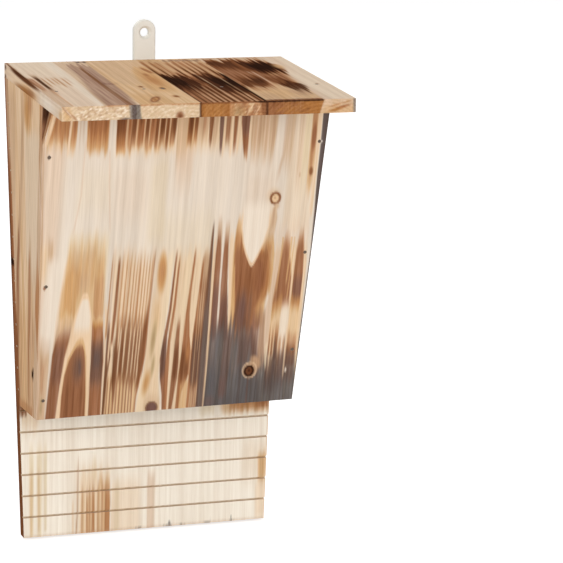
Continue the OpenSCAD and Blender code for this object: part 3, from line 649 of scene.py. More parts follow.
    Streak(Tone.GINGER, ((222, 109.8, 118.8), (252, 109.4, 118.8)), 0.75, (18, 6), (1.4, 1), 12, 0.4, 0.6),
    Comb(Tone.GINGER, 226, ((101.8, 104.4, 264), (105.6, 107.8, 268)), fade=(14, 6), strength=0.8, taper=0),
    Streak(Tone.RUSSET, ((234, 109.6, 118.6), (262, 109, 118.8)), 0.95, (12, 4), grain=0.4),
    Streak(Tone.PEACH, ((150, 118.8, 121.4), (236, 118.8, 120.8), (254, 118.6, 120)), 0.85, (10, 12)),
    # the grey burnt field
    Streak(Tone.MAUVE, ((196, 76, 86), (226, 74, 86.6), (268, 76, 91.4)), 0.8, (20, 6), (3, 1.4), 14, 0.45),
    Streak(Tone.FAWN, ((200, 83, 86.4), (240, 82, 88), (262, 84, 90)), 0.7, (14, 10), (1.5, 1)),
    Streak(Tone.SEPIA, ((200, 36, 60), (222, 35.8, 78), (250, 35.6, 83), (297, 35.2, 90)), 0.9, (34, 0), (0.9, 8), 26,
           0.3, 0.3),
    Streak(Tone.SLATE, ((206, 36.4, 54), (224, 36, 74), (250, 36, 78), (297, 35.2, 80)), 0.7, (34, 0), (0.9, 9), 26,
           0.45, 0.4),
    Streak(Tone.ASH, ((242, 36, 121), (297, 35.2, 120.4)), 1.0, (32, 0), (1, 0.6), 24, 0.2),
    Streak(Tone.SEPIA, ((240, 92, 118.6), (284, 90, 119)), 0.75, (16, 16), (2, 1), 14, 0.3),
    Streak(Tone.SEPIA, ((216, 49.6, 57), (292, 48, 56)), 0.6, (20, 14), (2, 3)),
    Streak(Tone.PLUM, ((262, 48, 55), (292, 48, 55)), 0.4, (10, 10), (3, 3)),
    Streak(Tone.SEPIA, ((224, 63, 76), (262, 63, 72)), 0.6, (12, 14), (4, 3)),
    Spot(Tone.SLATE, (45, 240), (6, 26), 0.8, 0.9),
    Spot(Tone.SLATE, (61, 244), (5, 20), 0.7, 0.9),
    Spot(Tone.SLATE, (63, 276), (12, 16), 0.6, 0.9),
    Spot(Tone.SOOT, (97, 278), (14, 14), 0.5, 0.9),
    Spot(Tone.PLUM, (40, 290), (8, 9), 0.4, 0.9),
    Comb(Tone.SOOT, 226, ((36, 37.6, 297), (41, 42.4, 297), (66, 69, 297), (97, 99.6, 297), (107, 108.6, 297)),
         strength=0.45, fade=(16, 0), edge=(2, 2)),
    Comb(Tone.PEACH, 216, ((93.6, 94.5, 264), (96.8, 97.5, 256), (108.2, 109.6, 274)), strength=0.85, fade=(10, 10)),
    Streak(Tone.VANILLA, ((236, 88.4, 91.6), (268, 91, 92.2)), 0.8, (6, 10)),
    # painted glint: a pale spot where the lowest nail head at the right catches the light
    Spot(Tone.CREAM, (111, 264), (1.0, 3.4), 0.9, 0.5),
    # the eye knot
    Spot(Tone.FAWN, (81.6, 254.6), (6, 9.6), 0.95, 0.6, -32),
    Spot(Tone.FAWN, (76.8, 262), (8.2, 9.2), 0.9, 0.35),
    Ring(Tone.PEACH, (76.4, 262.2), (6.7, 7.6), 0.9, 0.6),
    Spot(Tone.COCOA, (76, 263), (5.6, 6.2), 1.0, 0.3),
    Ring(Tone.COAL, (76, 263), (4.0, 4.5), 1.3, 0.9),
    Spot(Tone.CHAR, (76, 262.6), (1.7, 1.9), 0.8, 0.6),
    Streak(Tone.SEPIA, ((268, 75, 76.4), (297, 74.8, 76.6)), 0.7, (2, 0)),
    # nail marks; the dark spots at the left nail heads are partly their own tarnished steel and partly painted shade
    Spot(Tone.SEPIA, (-122.5, 55), (1.8, 2.2), 0.9),
    Spot(Tone.RUSSET, (-119.6, 173.5), (1.8, 2.4), 0.9),
    Spot(Tone.OLIVE, (-116, 279), (2.0, 2.4), 0.9),
)

BACK_MARKS: tuple[Mark, ...] = (
    Comb(Tone.STRAW, 326, ((-111, -106.8, 424), (-104, -99, 424), (-97.4, -94.4, 410)), strength=0.75, fade=(26, 0),
         edge=(1.6, 1.6)),
    Comb(Tone.HONEY, 352, ((-110.6, -107.6, 424), (-103, -101, 420)), strength=0.45, fade=(20, 6), edge=(2, 2)),
    Streak(Tone.WHEAT, ((296, -118, -100), (330, -117, -104)), 0.5, (0, 20), (1, 5), 10),
    Streak(Tone.PALE, ((345, -68, -34), (424, -69, -35)), 0.4, (20, 0), (3, 1)),
    Streak(Tone.FAWN, ((346, -65.4, -64.2), (400, -66.2, -64.8), (424, -67.6, -66)), 0.8, (20, 0)),
    Streak(Tone.PEACH, ((384, -70.6, -68.6), (424, -71, -69)), 0.6, (10, 0)),
    Streak(Tone.STRAW, ((344, -50.4, -48), (378, -50.6, -48.2)), 0.6, (14, 8)),
    Streak(Tone.WHEAT, ((350, -63, -34), (424, -64, -35)), 0.45, (26, 0), (3, 1), 14, 0.3, 0.6),
    Streak(Tone.HONEY, ((370, -62, -58.4), (424, -62.6, -59)), 0.6, (24, 0), (1.4, 1.4), 10, 0.4),
    Streak(Tone.HONEY, ((370, -57.4, -48.8), (424, -58, -49)), 0.6, (26, 0), (1.4, 0.9), 14, 0.35, 0.8),
    Comb(Tone.GINGER, 368, ((-61.4, -60, 424), (-57, -55.6, 424), (-54.4, -53, 424), (-51.6, -49.2, 424)),
         strength=0.7, lean=-0.01, fade=(22, 0), taper=0),
    Comb(Tone.TOAST, 384, ((-56.8, -55.8, 424), (-51.2, -49.6, 424)), strength=0.7, fade=(16, 4), taper=0),
    Streak(Tone.HONEY, ((358, -46.6, -33.8), (424, -47.4, -35.2)), 0.65, (28, 0), (1.6, 0.7), 14, 0.35, 0.8),
    Comb(Tone.GINGER, 364, ((-46.4, -44.8, 424), (-42.6, -40.6, 424), (-39, -34.2, 424)), strength=0.7, lean=-0.012,
         fade=(20, 0), taper=0),
    Streak(Tone.TOAST, ((376, -38.4, -34.2), (424, -39.4, -35.4)), 0.75, (16, 8), (1.5, 0.7), 10, 0.35),
    Comb(Tone.VANILLA, 372, ((-47.8, -46.8, 424), (-43.9, -43, 424), (-58.6, -57.8, 424)), strength=0.8, fade=(12, 0),
         taper=0),
    Streak(Tone.PEACH, ((364, -32, -6), (424, -34, -6)), 0.45, (22, 0), (1, 8)),
    Streak(Tone.STRAW, ((368, -30, -25.6), (424, -31, -26)), 0.6, (16, 4), (2, 2)),
    Streak(Tone.BLUSH, ((362, 1.6, 9), (424, 1, 8)), 0.75, (16, 0), (0.8, 3)),
    Streak(Tone.PALE, ((336, 94, 118), (400, 92, 117)), 0.5, (20, 30), (10, 1)),
    Streak(Tone.HONEY, ((352, 109, 117.6), (392, 109.6, 117)), 0.9, (12, 14), (2, 1)),
    Streak(Tone.PEACH, ((380, 107, 117), (424, 107, 116.6)), 0.6, (12, 10), (3, 1)),
    Streak(Tone.STRAW, ((296, 50, 66), (321, 52, 66)), 0.6, (0, 8), (8, 4)),
    Streak(Tone.HONEY, ((296, 70, 121), (322, 74, 119.4)), 0.8, (0, 9), (6, 0.6), 4),
    Streak(Tone.TOAST, ((296, 78, 121), (319, 82, 119.4)), 0.8, (0, 8), (6, 0.6), 4),
    Streak(Tone.RUSSET, ((296, 106, 121), (317, 108, 119)), 0.7, (0, 7), (5, 1), 4),
    # a brown patch just under the side panel: partly burn, partly painted shade
    Streak(Tone.UMBER, ((294, -122, -112.6), (309, -120, -113.6)), 0.9, (0, 5), (0.5, 1)),
    Comb(Tone.BLUSH, 296, ((-110.4, -109.4, 330), (-107, -106, 322), (-104.6, -103.8, 320)), strength=0.6),
    Comb(Tone.SLATE, 420.4, ((17, 25, 424), (33, 38, 424), (57, 63, 424), (79, 86, 424), (-10, -4, 424)),
         strength=0.75, fade=(0.5, 0), edge=(2, 2), taper=0.0),
    Streak(Tone.FAWN, ((421, -117, 116), (424, -117, 116)), 0.35, (1, 0), fray=0.5),
    Streak(Tone.BLUSH, ((296, 118.6, 121.6), (424, 115, 118)), 0.6, (0, 0), (0.8, 0.5)),
)

LEFT_MARKS: tuple[Mark, ...] = (
    Streak(Tone.FAWN, ((0, 14, 40), (120, -2, 22), (297, 0, 26)), 0.45, (20, 0), (10, 10)),
    Streak(Tone.PALE, ((30, 66, 130), (150, 56, 112), (190, 80, 110)), 0.75, (16, 30), (10, 10)),
    Streak(Tone.CREAM, ((182, 98, 130), (224, 94, 120)), 0.9, (12, 16), (4, 2)),
    Streak(Tone.FAWN, ((2, 58, 66), (60, 50, 60), (95, 40, 50), (125, 32, 40), (155, 24, 33), (200, 14, 27),
                       (250, 8, 19), (297, 6, 18)), 0.8, (10, 0), (3, 4), 8, 0.4),
    Streak(Tone.RUSSET, ((124, 31, 35), (150, 25, 33), (170, 19, 27), (205, 13, 24), (250, 8, 16), (297, 8, 14)), 0.75,
           (14, 0), (2, 3), 8, 0.4),
    Streak(Tone.TAN, ((120, 69, 75), (170, 61, 72), (230, 48, 62), (297, 38, 52)), 0.7, (20, 0), (4, 4)),
    Streak(Tone.SIENNA, ((138, 67, 71), (175, 59, 68), (205, 55, 64), (238, 49, 55), (297, 43, 48)), 0.8, (20, 20),
           (2.5, 2.5), 8, 0.4),
    Streak(Tone.TAN, ((150, 76, 96), (220, 66, 88), (240, 62, 82)), 0.6, (20, 14), (4, 4), 8, 0.5),
    Streak(Tone.SIENNA, ((172, 99, 102), (200, 93, 96.6), (230, 86, 89.4), (256, 81, 84), (297, 74, 77)), 0.75,
           (12, 20), (1.5, 1.5)),
    Streak(Tone.TAN, ((240, 84, 108), (297, 76, 98)), 0.8, (14, 10), (3, 3)),
    Streak(Tone.BLUSH, ((40, 120, 124), (140, 104, 107)), 0.6, (12, 14), (2, 2)),
    Streak(Tone.AMBER, ((170, 12, 60), (297, 6, 50)), 0.35, (60, 0), (10, 12), 20, 0.5, 0.8),
    Streak(Tone.GINGER, ((176, 66, 96), (297, 46, 80)), 0.3, (50, 0), (10, 12), 20, 0.5, 0.8),
    Comb(Tone.TOAST, 60, ((10, 12, 200), (20, 21.6, 240), (42, 43.6, 190)), lean=-0.1, strength=0.45, fade=(40, 50),
         edge=(2, 2)),
    Comb(Tone.SIENNA, 190, ((33, 35, 297), (58, 59.4, 280), (72, 73.6, 297)), lean=-0.14, strength=0.45,
         fade=(30, 20), edge=(2, 2)),
    # amber at the top of the side panel, under the roof: partly a burn stain, partly painted shadow of the roof
    Spot(Tone.AMBER, (76, 24), (18, 24), 0.95, 0.9, -10),
    Spot(Tone.TOAST, (86, 13), (15, 17), 0.6, 0.9, -10),
    Streak(Tone.AMBER, ((0, 62, 110), (12, 64, 108)), 0.6, (0, 6), (8, 8)),
    Spot(Tone.RUSSET, (115, 168.6), (6, 2.4), 0.9, 0.8, -12),
    Spot(Tone.COAL, (67, 257), (8, 6.4), 1.0, 0.5, -15),
    Spot(Tone.OLIVE, (93, 274), (6, 2.6), 0.7, 0.8, -12),
    Streak(Tone.UMBER, ((200, 12, 16), (297, 11, 15.6)), 0.7, (30, 0), (1, 3)),
    Streak(Tone.TOAST, ((286, 8, 64), (299, 8, 60)), 0.7, (5, 0), (1, 8)),
)

EDGE_MARKS: tuple[Mark, ...] = (
    Flaming(Tone.UMBER, 0.34, 5.0, 120.0, 21),
    Streak(Tone.TAN, ((-2, 3, 13), (104, 5, 13)), 0.85, (0, 60), (2.6, 1), 20, 0.4, 0.5),
    Streak(Tone.MAUVE, ((-2, -1, 4), (300, -1, 4)), 0.6, (0, 60), (1, 2.5), 20, 0.4),
    Streak(Tone.COCOA, ((60, -1, 2), (422, -1, 2.4)), 0.7, (60, 0), (1, 2)),
    Streak(Tone.UMBER, ((180, 5, 13), (424, 4, 13)), 0.7, (50, 0), (2, 1), 20, 0.4, 0.5),
    Streak(Tone.COCOA, ((280, -1, 13), (424, -1, 13)), 0.7, (30, 0), (1, 1), 12, 0.4),
    Streak(Tone.TOAST, ((310, 9.6, 11.4), (424, 9.6, 11.4)), 0.6, (10, 0), (1, 1)),
    Spot(Tone.COAL, (5.5, 166), (7, 5.4), 1.0, 0.5),
)

ROOF_MARKS: tuple[Mark, ...] = (
    # first board
    Streak(Tone.UMBER, ((0, -131, -127.4), (60, -131, -128.2), (124, -131, -127)), 0.95, (2, 34), (0.3, 2)),
    Streak(Tone.CHAR, ((8, -131, -129), (108, -131, -128.6)), 0.85, (8, 30), (0.3, 1)),
    Streak(Tone.SIENNA, ((66, -128.6, -123.6), (134, -128, -124)), 0.8, (24, 26), (2, 2), strands=1),
    Streak(Tone.FAWN, ((116, -131, -121.6), (192, -131, -122)), 0.6, (20, 0), (0.3, 4), strands=0.8),
    Streak(Tone.FAWN, ((44, -123, -117), (150, -122.8, -117)), 0.7, (20, 30), (2, 2)),
    Streak(Tone.CHAR, ((54, -121.8, -118.2), (130, -121.4, -118.6)), 1.0, (22, 24)),
    Streak(Tone.TOAST, ((112, -121.6, -119), (192, -121.2, -119.2)), 0.5, (16, 0), (1.4, 1.4)),
    Comb(Tone.TOAST, 62, ((-116.4, -114.8, 116), (-112, -110.4, 108), (-107.8, -106, 108), (-104.6, -102.6, 118),
                          (-99.2, -97, 112), (-95.6, -93.8, 106)), strength=0.75, fade=(18, 18), taper=0),
    Streak(Tone.CREAM, ((0, -96, -87), (192, -98, -92)), 0.6, (0, 0), (6, 4)),
    Streak(Tone.TAN, ((0, -86, -55), (60, -86, -55), (120, -89, -57), (192, -94, -64)), 0.85, (4, 0), (4, 2), 10, 0.3,
           0.5),
    Streak(Tone.MAUVE, ((10, -80, -59), (60, -81, -60), (120, -86, -60), (192, -90, -66)), 0.6, (16, 0), (8, 7), 24,
           0.4, 1.4),
    Streak(Tone.UMBER, ((20, -70, -67), (80, -72.4, -68.6), (130, -73, -69.4), (192, -74, -69)), 0.7, (16, 0),
           (2.6, 2.6), 16, 0.4, 0.6),
    Comb(Tone.MAUVE, 30, ((-66, -64, 120), (-78, -76.4, 110), (-63, -61.4, 90)), lean=-0.03, strength=0.5,
         fade=(20, 30), edge=(2, 2)),
    Comb(Tone.MAUVE, 110, ((-85, -83, 192), (-80, -78, 180), (-65.6, -63.4, 178)), lean=-0.03, strength=0.5,
         fade=(20, 20), edge=(2, 2)),
    Streak(Tone.MAUVE, ((96, -70, -54), (109, -70, -56)), 0.6, (5, 5), (3, 3)),
    Streak(Tone.PLUM, ((1, -67, -55), (8, -66, -56)), 0.7, (2, 4), (2, 2), 2),
    Spot(Tone.SOOT, (-64.4, 5.6), (2.2, 4.0), 0.9),
    Spot(Tone.SOOT, (-58.4, 6.6), (2.2, 3.6), 0.9),
    # second board
    Streak(Tone.WHEAT, ((0, -57, -10), (150, -60, -10), (192, -64, -10)), 0.75, (0, 0), (4, 0.5), 0, 0.4),
    Streak(Tone.HONEY, ((0, -57, -10), (192, -62, -10)), 0.8, (0, 0), (4, 0.5), 0, 0.5, 0.8),
    Streak(Tone.TAN, ((0, -57, -10), (40, -56, -10), (130, -50, -36)), 0.6, (0, 40), (4, 3), 14, 0.4, 1),
    Streak(Tone.HONEY, ((24, -18, -9.6), (50, -27, -9.6), (84, -33, -9.8), (120, -36, -12), (152, -32, -14)), 1.0,
           (16, 24), (5, 3), 14, 0.25, 0.3),
    Spot(Tone.HONEY, (-22, 96), (17, 64), 0.7, 0.9),
    Spot(Tone.AMBER, (-20, 88), (12, 52), 0.95, 0.9),
    Spot(Tone.TOAST, (-21, 94), (7, 32), 0.6, 0.9),
    Streak(Tone.SIENNA, ((30, -18, -15), (48, -16.4, -11.6), (68, -13.6, -9.8)), 0.85, (14, 10), (1.4, 1.4)),
    Spot(Tone.SIENNA, (-20, 68), (3.4, 11), 0.7, 0.9),
    Streak(Tone.HONEY, ((138, -58, -36), (192, -62, -30)), 0.75, (22, 0), (4, 8)),
    Spot(Tone.RUSSET, (-43.6, 171), (5.0, 16), 0.95, 0.45, 24),
    Spot(Tone.AMBER, (-43.8, 171.5), (3.0, 10.6), 0.9, 0.5, 24),
    Spot(Tone.SIENNA, (-43.8, 171.5), (1.2, 7), 0.5, 0.8, 24),
    Spot(Tone.TOAST, (-22, 161), (5.4, 8), 0.9, 0.9),
    Spot(Tone.UMBER, (-22, 161), (3.2, 5), 0.9, 0.9),
    Spot(Tone.UMBER, (-40, 118), (3.4, 6), 0.9, 0.9),
    Spot(Tone.CHAR, (-23.4, 127), (3.6, 6.4), 0.9, 0.9),
    # third board, the most burnt
    Streak(Tone.HONEY, ((0, -9.5, 49.5), (192, -9.5, 49.5)), 0.85, (0, 0), (0.3, 0.3), 0, 0.4),
    Streak(Tone.TOAST, ((6, -9.5, 49.5), (90, -9.5, 49.5)), 0.55, (14, 20), (0.3, 0.3), 24, 0.4, 1.6),
    Comb(Tone.SIENNA, 6, ((-9.5, -6.4, 80), (-1.6, 0.8, 84), (4.2, 5.8, 84), (12.4, 15.4, 90), (19.2, 22.4, 90),
                          (25.4, 28.6, 90), (30.8, 33.4, 90), (35.8, 38.6, 90), (42.4, 46, 90)), strength=0.75,
         fade=(16, 12), taper=-0.2),
    Comb(Tone.CHAR, 30, ((-9.5, -7.4, 90), (-1, 0.4, 90), (13, 14.8, 90), (20, 22, 90), (26, 28, 90), (31.6, 33, 90),
                         (36.4, 38, 90), (43.4, 45.4, 90)), strength=0.75, fade=(30, 12), taper=-0.3),
    Streak(Tone.PLUM, ((4, 12, 49.5), (15, 14, 49.5)), 0.6, (2, 7), (3, 0.3), 5, 0.4, 1),
    Streak(Tone.SIENNA, ((60, -9.5, 49.5), (192, -9.5, 49.5)), 0.9, (26, 0), (0.3, 0.3), 22, 0.35, 1),
    Streak(Tone.UMBER, ((64, -9.5, 49.5), (168, -9.5, 49.5)), 0.9, (26, 30), (0.3, 0.3), 24, 0.35, 1.4),
    Streak(Tone.CHAR, ((62, -9.5, 4), (84, -9.5, 13), (112, -9.5, 16), (130, -9, 12), (152, -8, 6)), 1.0, (24, 36),
           (0.3, 3), 22, 0.25, 1.5),
    Streak(Tone.COAL, ((74, -9, 0), (100, -8.6, 6), (130, -8, 4)), 0.85, (18, 24), (1.5, 3), 16, 0.2, 1.4),
    Streak(Tone.CHAR, ((66, 21, 49.5), (86, 20, 49.5), (134, 24, 49.5), (164, 32, 49.5)), 1.0, (28, 36), (2, 0.3), 26,
           0.25, 1.6),
    Streak(Tone.COAL, ((82, 29, 47), (110, 30, 48), (138, 34, 47)), 0.85, (22, 30), (3, 2), 18, 0.2, 1.4),
    Streak(Tone.COAL, ((66, 46.2, 49.6), (192, 46.8, 49.6)), 0.95, (14, 0), (1.2, 0.3)),
    Comb(Tone.CHAR, 112, ((-9.5, -7.8, 192), (-5, -2.6, 192), (0, 1.8, 192), (5, 7, 192), (10, 12.4, 192),
                          (15.2, 17.2, 192), (20, 22.8, 192), (26.6, 29.6, 192), (32.2, 35.4, 192), (38.2, 40, 192),
                          (43, 45.6, 192)), strength=0.75, fade=(20, 0), taper=0.1),
    Streak(Tone.CHAR, ((80, 9, 23), (122, 10, 24)), 0.55, (22, 28), (2, 2), 22, 0.3, 1.4),
    Comb(Tone.WHEAT, 104, ((2.6, 3.8, 192), (8, 9.2, 192), (13, 14.4, 192), (18.2, 19.2, 192), (36.4, 37.2, 192)),
         strength=0.45, fade=(30, 0), taper=-0.2, edge=(0.8, 0.8)),
    Comb(Tone.WHEAT, 72, ((24, 25.4, 192), (40.4, 41.8, 192)), strength=0.65, fade=(26, 0), edge=(0.8, 0.8)),
    Comb(Tone.WHEAT, 4, ((-5, -2.6, 66), (7.4, 10.8, 72), (16.6, 18.2, 74), (23.4, 24.6, 120), (29.4, 30.4, 70),
                         (34, 35, 70), (40.2, 41.4, 120)), strength=0.5, fade=(0, 20)),
    # fourth board
    Streak(Tone.TAN, ((0, 49.5, 106), (60, 49.5, 108), (192, 49.5, 101)), 0.9, (0, 0), (0.3, 5), 0, 0.4),
    Streak(Tone.HONEY, ((60, 49.5, 103), (100, 49.5, 104), (186, 49.5, 100)), 0.6, (14, 4), (0.3, 4), 10, 0.4, 0.8),
    Spot(Tone.HONEY, (72, 158), (24, 30), 0.5, 0.9),
    Spot(Tone.FAWN, (60, 170), (12, 20), 0.5, 0.9),
    Streak(Tone.TOAST, ((2, 49.5, 108), (60, 49.5, 110), (100, 49.5, 104), (150, 49.5, 103)), 0.85, (16, 36),
           (0.3, 9), 26, 0.35, 0.5),
    Streak(Tone.RUSSET, ((6, 49.5, 100), (60, 49.5, 104), (100, 49.5, 102), (146, 49.5, 98)), 0.85, (14, 44), (0.3, 9),
           28, 0.35, 0.9),
    Streak(Tone.UMBER, ((6, 48, 80), (30, 49.5, 82), (78, 52, 80)), 1.0, (16, 34), (0.3, 8), 24, 0.3, 0.7),
    Streak(Tone.CHAR, ((12, 50, 77), (68, 54, 74)), 0.7, (14, 38), (4, 8), 22, 0.3, 1),
    Streak(Tone.UMBER, ((8, 76, 102), (36, 74, 113), (66, 76, 114), (94, 82, 108)), 1.0, (22, 34), (5, 8), 22, 0.25,
           0.9),
    Streak(Tone.CHAR, ((12, 79, 102), (34, 79, 109), (58, 81, 111), (86, 86, 108)), 1.0, (20, 32), (5, 6), 22, 0.2,
           1.1),
    Streak(Tone.COAL, ((20, 84, 103), (44, 85, 108), (76, 90, 107)), 0.9, (22, 30), (5, 5), 20, 0.15, 1.1),
    Spot(Tone.HONEY, (111, 46), (8, 18), 0.8, 0.9),
    Spot(Tone.HONEY, (95, 80), (8, 12), 0.4, 0.9),
    Streak(Tone.UMBER, ((72, 58, 80), (104, 54, 79), (124, 50, 73), (158, 49.5, 58)), 0.92, (34, 40), (8, 10), 24, 0.35,
           0.8),
    Streak(Tone.COCOA, ((84, 62, 78), (106, 56, 78), (124, 50, 72), (150, 49.5, 60)), 0.95, (24, 38), (8, 9), 24, 0.3,
           0.9),
    Streak(Tone.CHAR, ((92, 64, 76), (110, 59, 75), (128, 52, 66)), 0.6, (18, 26), (6, 6), 18, 0.3, 1),
    Streak(Tone.UMBER, ((82, 80, 92), (104, 81, 96), (124, 83, 105), (146, 85, 105)), 0.9, (22, 36), (3, 5), 22, 0.3,
           0.9),
    Streak(Tone.CHAR, ((104, 86, 98), (124, 86, 106), (146, 88, 105), (172, 91, 99)), 0.9, (26, 40), (5, 5), 22,
           0.25, 1),
    Comb(Tone.CHAR, 56, ((54, 55.2, 120), (58.8, 59.8, 134), (63.4, 64.6, 126), (68, 69, 142), (72.8, 73.8, 134),
                         (83, 84.2, 140), (88, 89, 152), (93.4, 94.8, 158), (98.8, 99.8, 152)), strength=0.4,
         fade=(34, 34), taper=-0.2),
    Streak(Tone.TOAST, ((128, 52, 68), (158, 52, 66)), 0.5, (14, 16), (4, 5), 12, 0.4, 1),
    Comb(Tone.BLUSH, 60, ((78.2, 80.2, 130), (74.4, 76, 86)), strength=0.6, fade=(14, 16)),
    Streak(Tone.FAWN, ((142, 80, 98), (178, 86, 98)), 0.7, (14, 14), (3, 2), 10, 0.4, 1),
    Streak(Tone.UMBER, ((183, 49.5, 101), (192, 49.5, 100)), 0.95, (4, 0), (0.4, 3), 2),
    Spot(Tone.FAWN, (119, 125), (3, 5), 0.7, 0.9),
)

ROOF_FRONT_MARKS: tuple[Mark, ...] = (
    Streak(Tone.STRAW, ((-1, -131, -9.5), (14, -131, -9.5)), 0.45, (0, 0), (0.3, 0.3), 0, 0.1),
    Speckle(Tone.MILK, -119, -66, 0.6, seed=12),
    Speckle(Tone.FAWN, -119, -66, 0.65, seed=13),
    Speckle(Tone.MILK, -63, -10, 0.3, seed=14),
    Speckle(Tone.TAN, -63, -10, 0.6, seed=15),
    Spot(Tone.HONEY, (-125, 7), (6, 11), 0.7, 0.9),
    Spot(Tone.SIENNA, (-126, 4), (1.2, 11), 0.85, 0.9, -42),
    Spot(Tone.TOAST, (-122, 7), (1.0, 10), 0.8, 0.9, -42),
    Spot(Tone.CREAM, (-124, 5.5), (0.9, 9), 0.8, 0.9, -42),
    Spot(Tone.SIENNA, (-118.6, 9.5), (0.9, 6), 0.7, 0.9, -42),
    Streak(Tone.TOAST, ((-1, -92, -9.5), (1.6, -92, -9.5)), 0.8, (0, 1.0), (6, 0.4), 0.8),
    Streak(Tone.SLATE, ((-1, -72, -62.4), (6, -71.4, -62), (14, -70.4, -60.8)), 0.85, (0, 0), (2.4, 1.6), 0),
    Streak(Tone.SOOT, ((-1, -69.6, -66), (6, -69.6, -65), (14, -68.6, -66)), 0.9, (0, 0), (1.4, 1.4), 0),
    Spot(Tone.SOOT, (-74.6, 12.2), (7, 2.6), 0.8, 0.9),
    Spot(Tone.RUSSET, (-27.6, 10.2), (5.2, 5.2), 0.95, 0.8),
    Spot(Tone.COCOA, (-27.6, 10.4), (2.8, 2.6), 0.5, 0.9),
    Streak(Tone.CARAMEL, ((-1, -9.5, 17), (14, -9.5, 16.6)), 1.0, (0, 0), (0.4, 1), 0, 0.2),
    Streak(Tone.CHESTNUT, ((-1, -9.5, -6), (14, -9.5, -7)), 0.7, (0, 0), (0.4, 2), 0, 0.4),
    Streak(Tone.CHESTNUT, ((-1, 12, 16), (14, 11, 15.6)), 0.6, (0, 0), (3, 1), 0, 0.4),
    Speckle(Tone.CHESTNUT, -9, 18, 0.4, (1.4, 4), 16),
    Streak(Tone.TOAST, ((-1, 16, 49.5), (14, 16, 49.5)), 0.95, (0, 0), (1, 0.4), 0, 0.4),
    Speckle(Tone.STRAW, 17, 44, 0.55, (1.6, 2.2), 17),
    Speckle(Tone.RUSSET, 20, 49, 0.55, (1.8, 2.2), 18),
    Spot(Tone.OLIVE, (24, 8), (9, 8), 0.5, 0.9),
    Spot(Tone.PEACH, (35, 6), (1.0, 9), 0.85, 0.9, 34),
    Spot(Tone.PEACH, (42, 6), (0.9, 9), 0.75, 0.9, 30),
    Spot(Tone.RUSSET, (38.6, 7), (1.6, 9), 0.7, 0.9, 32),
    Streak(Tone.UMBER, ((-1, 43, 50), (14, 46, 50)), 0.85, (0, 0), (3, 0.4), 0),
    Streak(Tone.CHESTNUT, ((-1, 49.5, 101.6), (12.5, 49.5, 97)), 1.0, (0, 0), (0.4, 1.4), 0, 0.3),
    Streak(Tone.RUSSET, ((-1, 50, 66), (14, 50, 64)), 0.7, (0, 0), (0.4, 8), 0, 0.4),
    Streak(Tone.CARAMEL, ((-1, 84, 101.4), (12.5, 82, 97)), 0.8, (0, 0), (6, 1), 0, 0.3),
    Speckle(Tone.CARAMEL, 56, 88, 0.7, (5, 2.6), 19),
    Speckle(Tone.UMBER, 52, 90, 0.5, (6, 2.4), 20),
    Speckle(Tone.CARAMEL, 62, 97, 0.4, (4, 2.2), 21),
    Streak(Tone.HONEY, ((3, 100, 130), (14, 97, 130)), 0.6, (5, 0), (2, 0.3), 4, 0.4),
    Spot(Tone.CARAMEL, (112, 9), (13, 2.2), 0.9, 0.9, -14),
    Spot(Tone.SIENNA, (119, 6.4), (10, 1.8), 0.9, 0.9, -12),
    Spot(Tone.TOAST, (112, 5), (11, 1.2), 0.7, 0.9, -16),
    Spot(Tone.CARAMEL, (122, 2.6), (6, 1.2), 0.6, 0.9, -16),
    Streak(Tone.UMBER, ((-1, -10, 101), (1.8, -10, 101)), 0.9, (0, 1.0), (1, 1), 0.6),
    Streak(Tone.COAL, ((-1, 34, 101), (1.8, 44, 100)), 0.9, (0, 1.0), (4, 1), 0.8),
    Streak(Tone.SLATE, ((-1, 127.6, 131), (14, 127.6, 131)), 0.8, (0, 0), (1.2, 0.3), 0),
    Streak(Tone.CHAR, ((-1, -10.3, -8.7), (14, -10.3, -8.7)), 0.95, (0, 0), (0.5, 0.5), 0),
    Streak(Tone.CHAR, ((-1, 48.7, 50.5), (14, 48.7, 50.5)), 0.95, (0, 0), (0.5, 0.5), 0),
)

ROOF_LEFT_MARKS: tuple[Mark, ...] = (
    Spot(Tone.PEACH, (56, 8), (64, 14), 0.7, 0.7),
    Spot(Tone.AMBER, (84, 10), (40, 9), 0.85, 0.9),
    Spot(Tone.TOAST, (84, 11), (24, 4), 0.5, 0.9),
    Spot(Tone.CHESTNUT, (64, 10.6), (38, 4.2), 0.7, 0.8),
    Spot(Tone.RUSSET, (92, 8.6), (20, 4.4), 0.5, 0.8),
    Spot(Tone.COCOA, (70, 0.2), (62, 4.2), 1.0, 0.5),
    Spot(Tone.CHAR, (46, 0), (32, 3), 0.7, 0.8),
    Spot(Tone.CREAM, (148, 7), (36, 8), 0.8, 0.9),
    Spot(Tone.HONEY, (187, 9), (9, 9), 0.7, 0.9),
    Spot(Tone.SEPIA, (4, 3), (3.8, 3.8), 0.9, 0.8),
    Spot(Tone.SEPIA, (4, 11), (3.8, 3.2), 0.9, 0.8),
)

HIDDEN_MARKS: tuple[Mark, ...] = (Flaming(Tone.STRAW, 0.24, seed=5), Flaming(Tone.TAN, 0.12, seed=6))

FLAMED_MARKS: tuple[Mark, ...] = (
    Flaming(Tone.TAN, 0.34, 34, 120, 7), Flaming(Tone.TOAST, 0.22, 30, 95, 8), Flaming(Tone.UMBER, 0.14, 28, 80, 9),
)

# darkens the chip's faces at the front panel's top-left corner: partly char, partly painted shade in the recess
CHIP_MARKS: tuple[Mark, ...] = (
    Streak(Tone.CHAR, ((8, -129, -118), (20, -129.2, -118), (32, -129.6, -118)), 0.92, (0, 12), (1, 1), 5, 0.3),
    Streak(Tone.UMBER, ((22, -129, -118), (46, -130, -118)), 0.6, (4, 8), (0.6, 1), 5, 0.3),
)


@dataclass(frozen=True)
class Slicing:
    """How finely a face is cut to carry its colours, in millimetres."""

    across: float
    along: float


END_CUT = Slicing(1.5, 1.5)
UNSEEN = Slicing(3.0, 14.0)


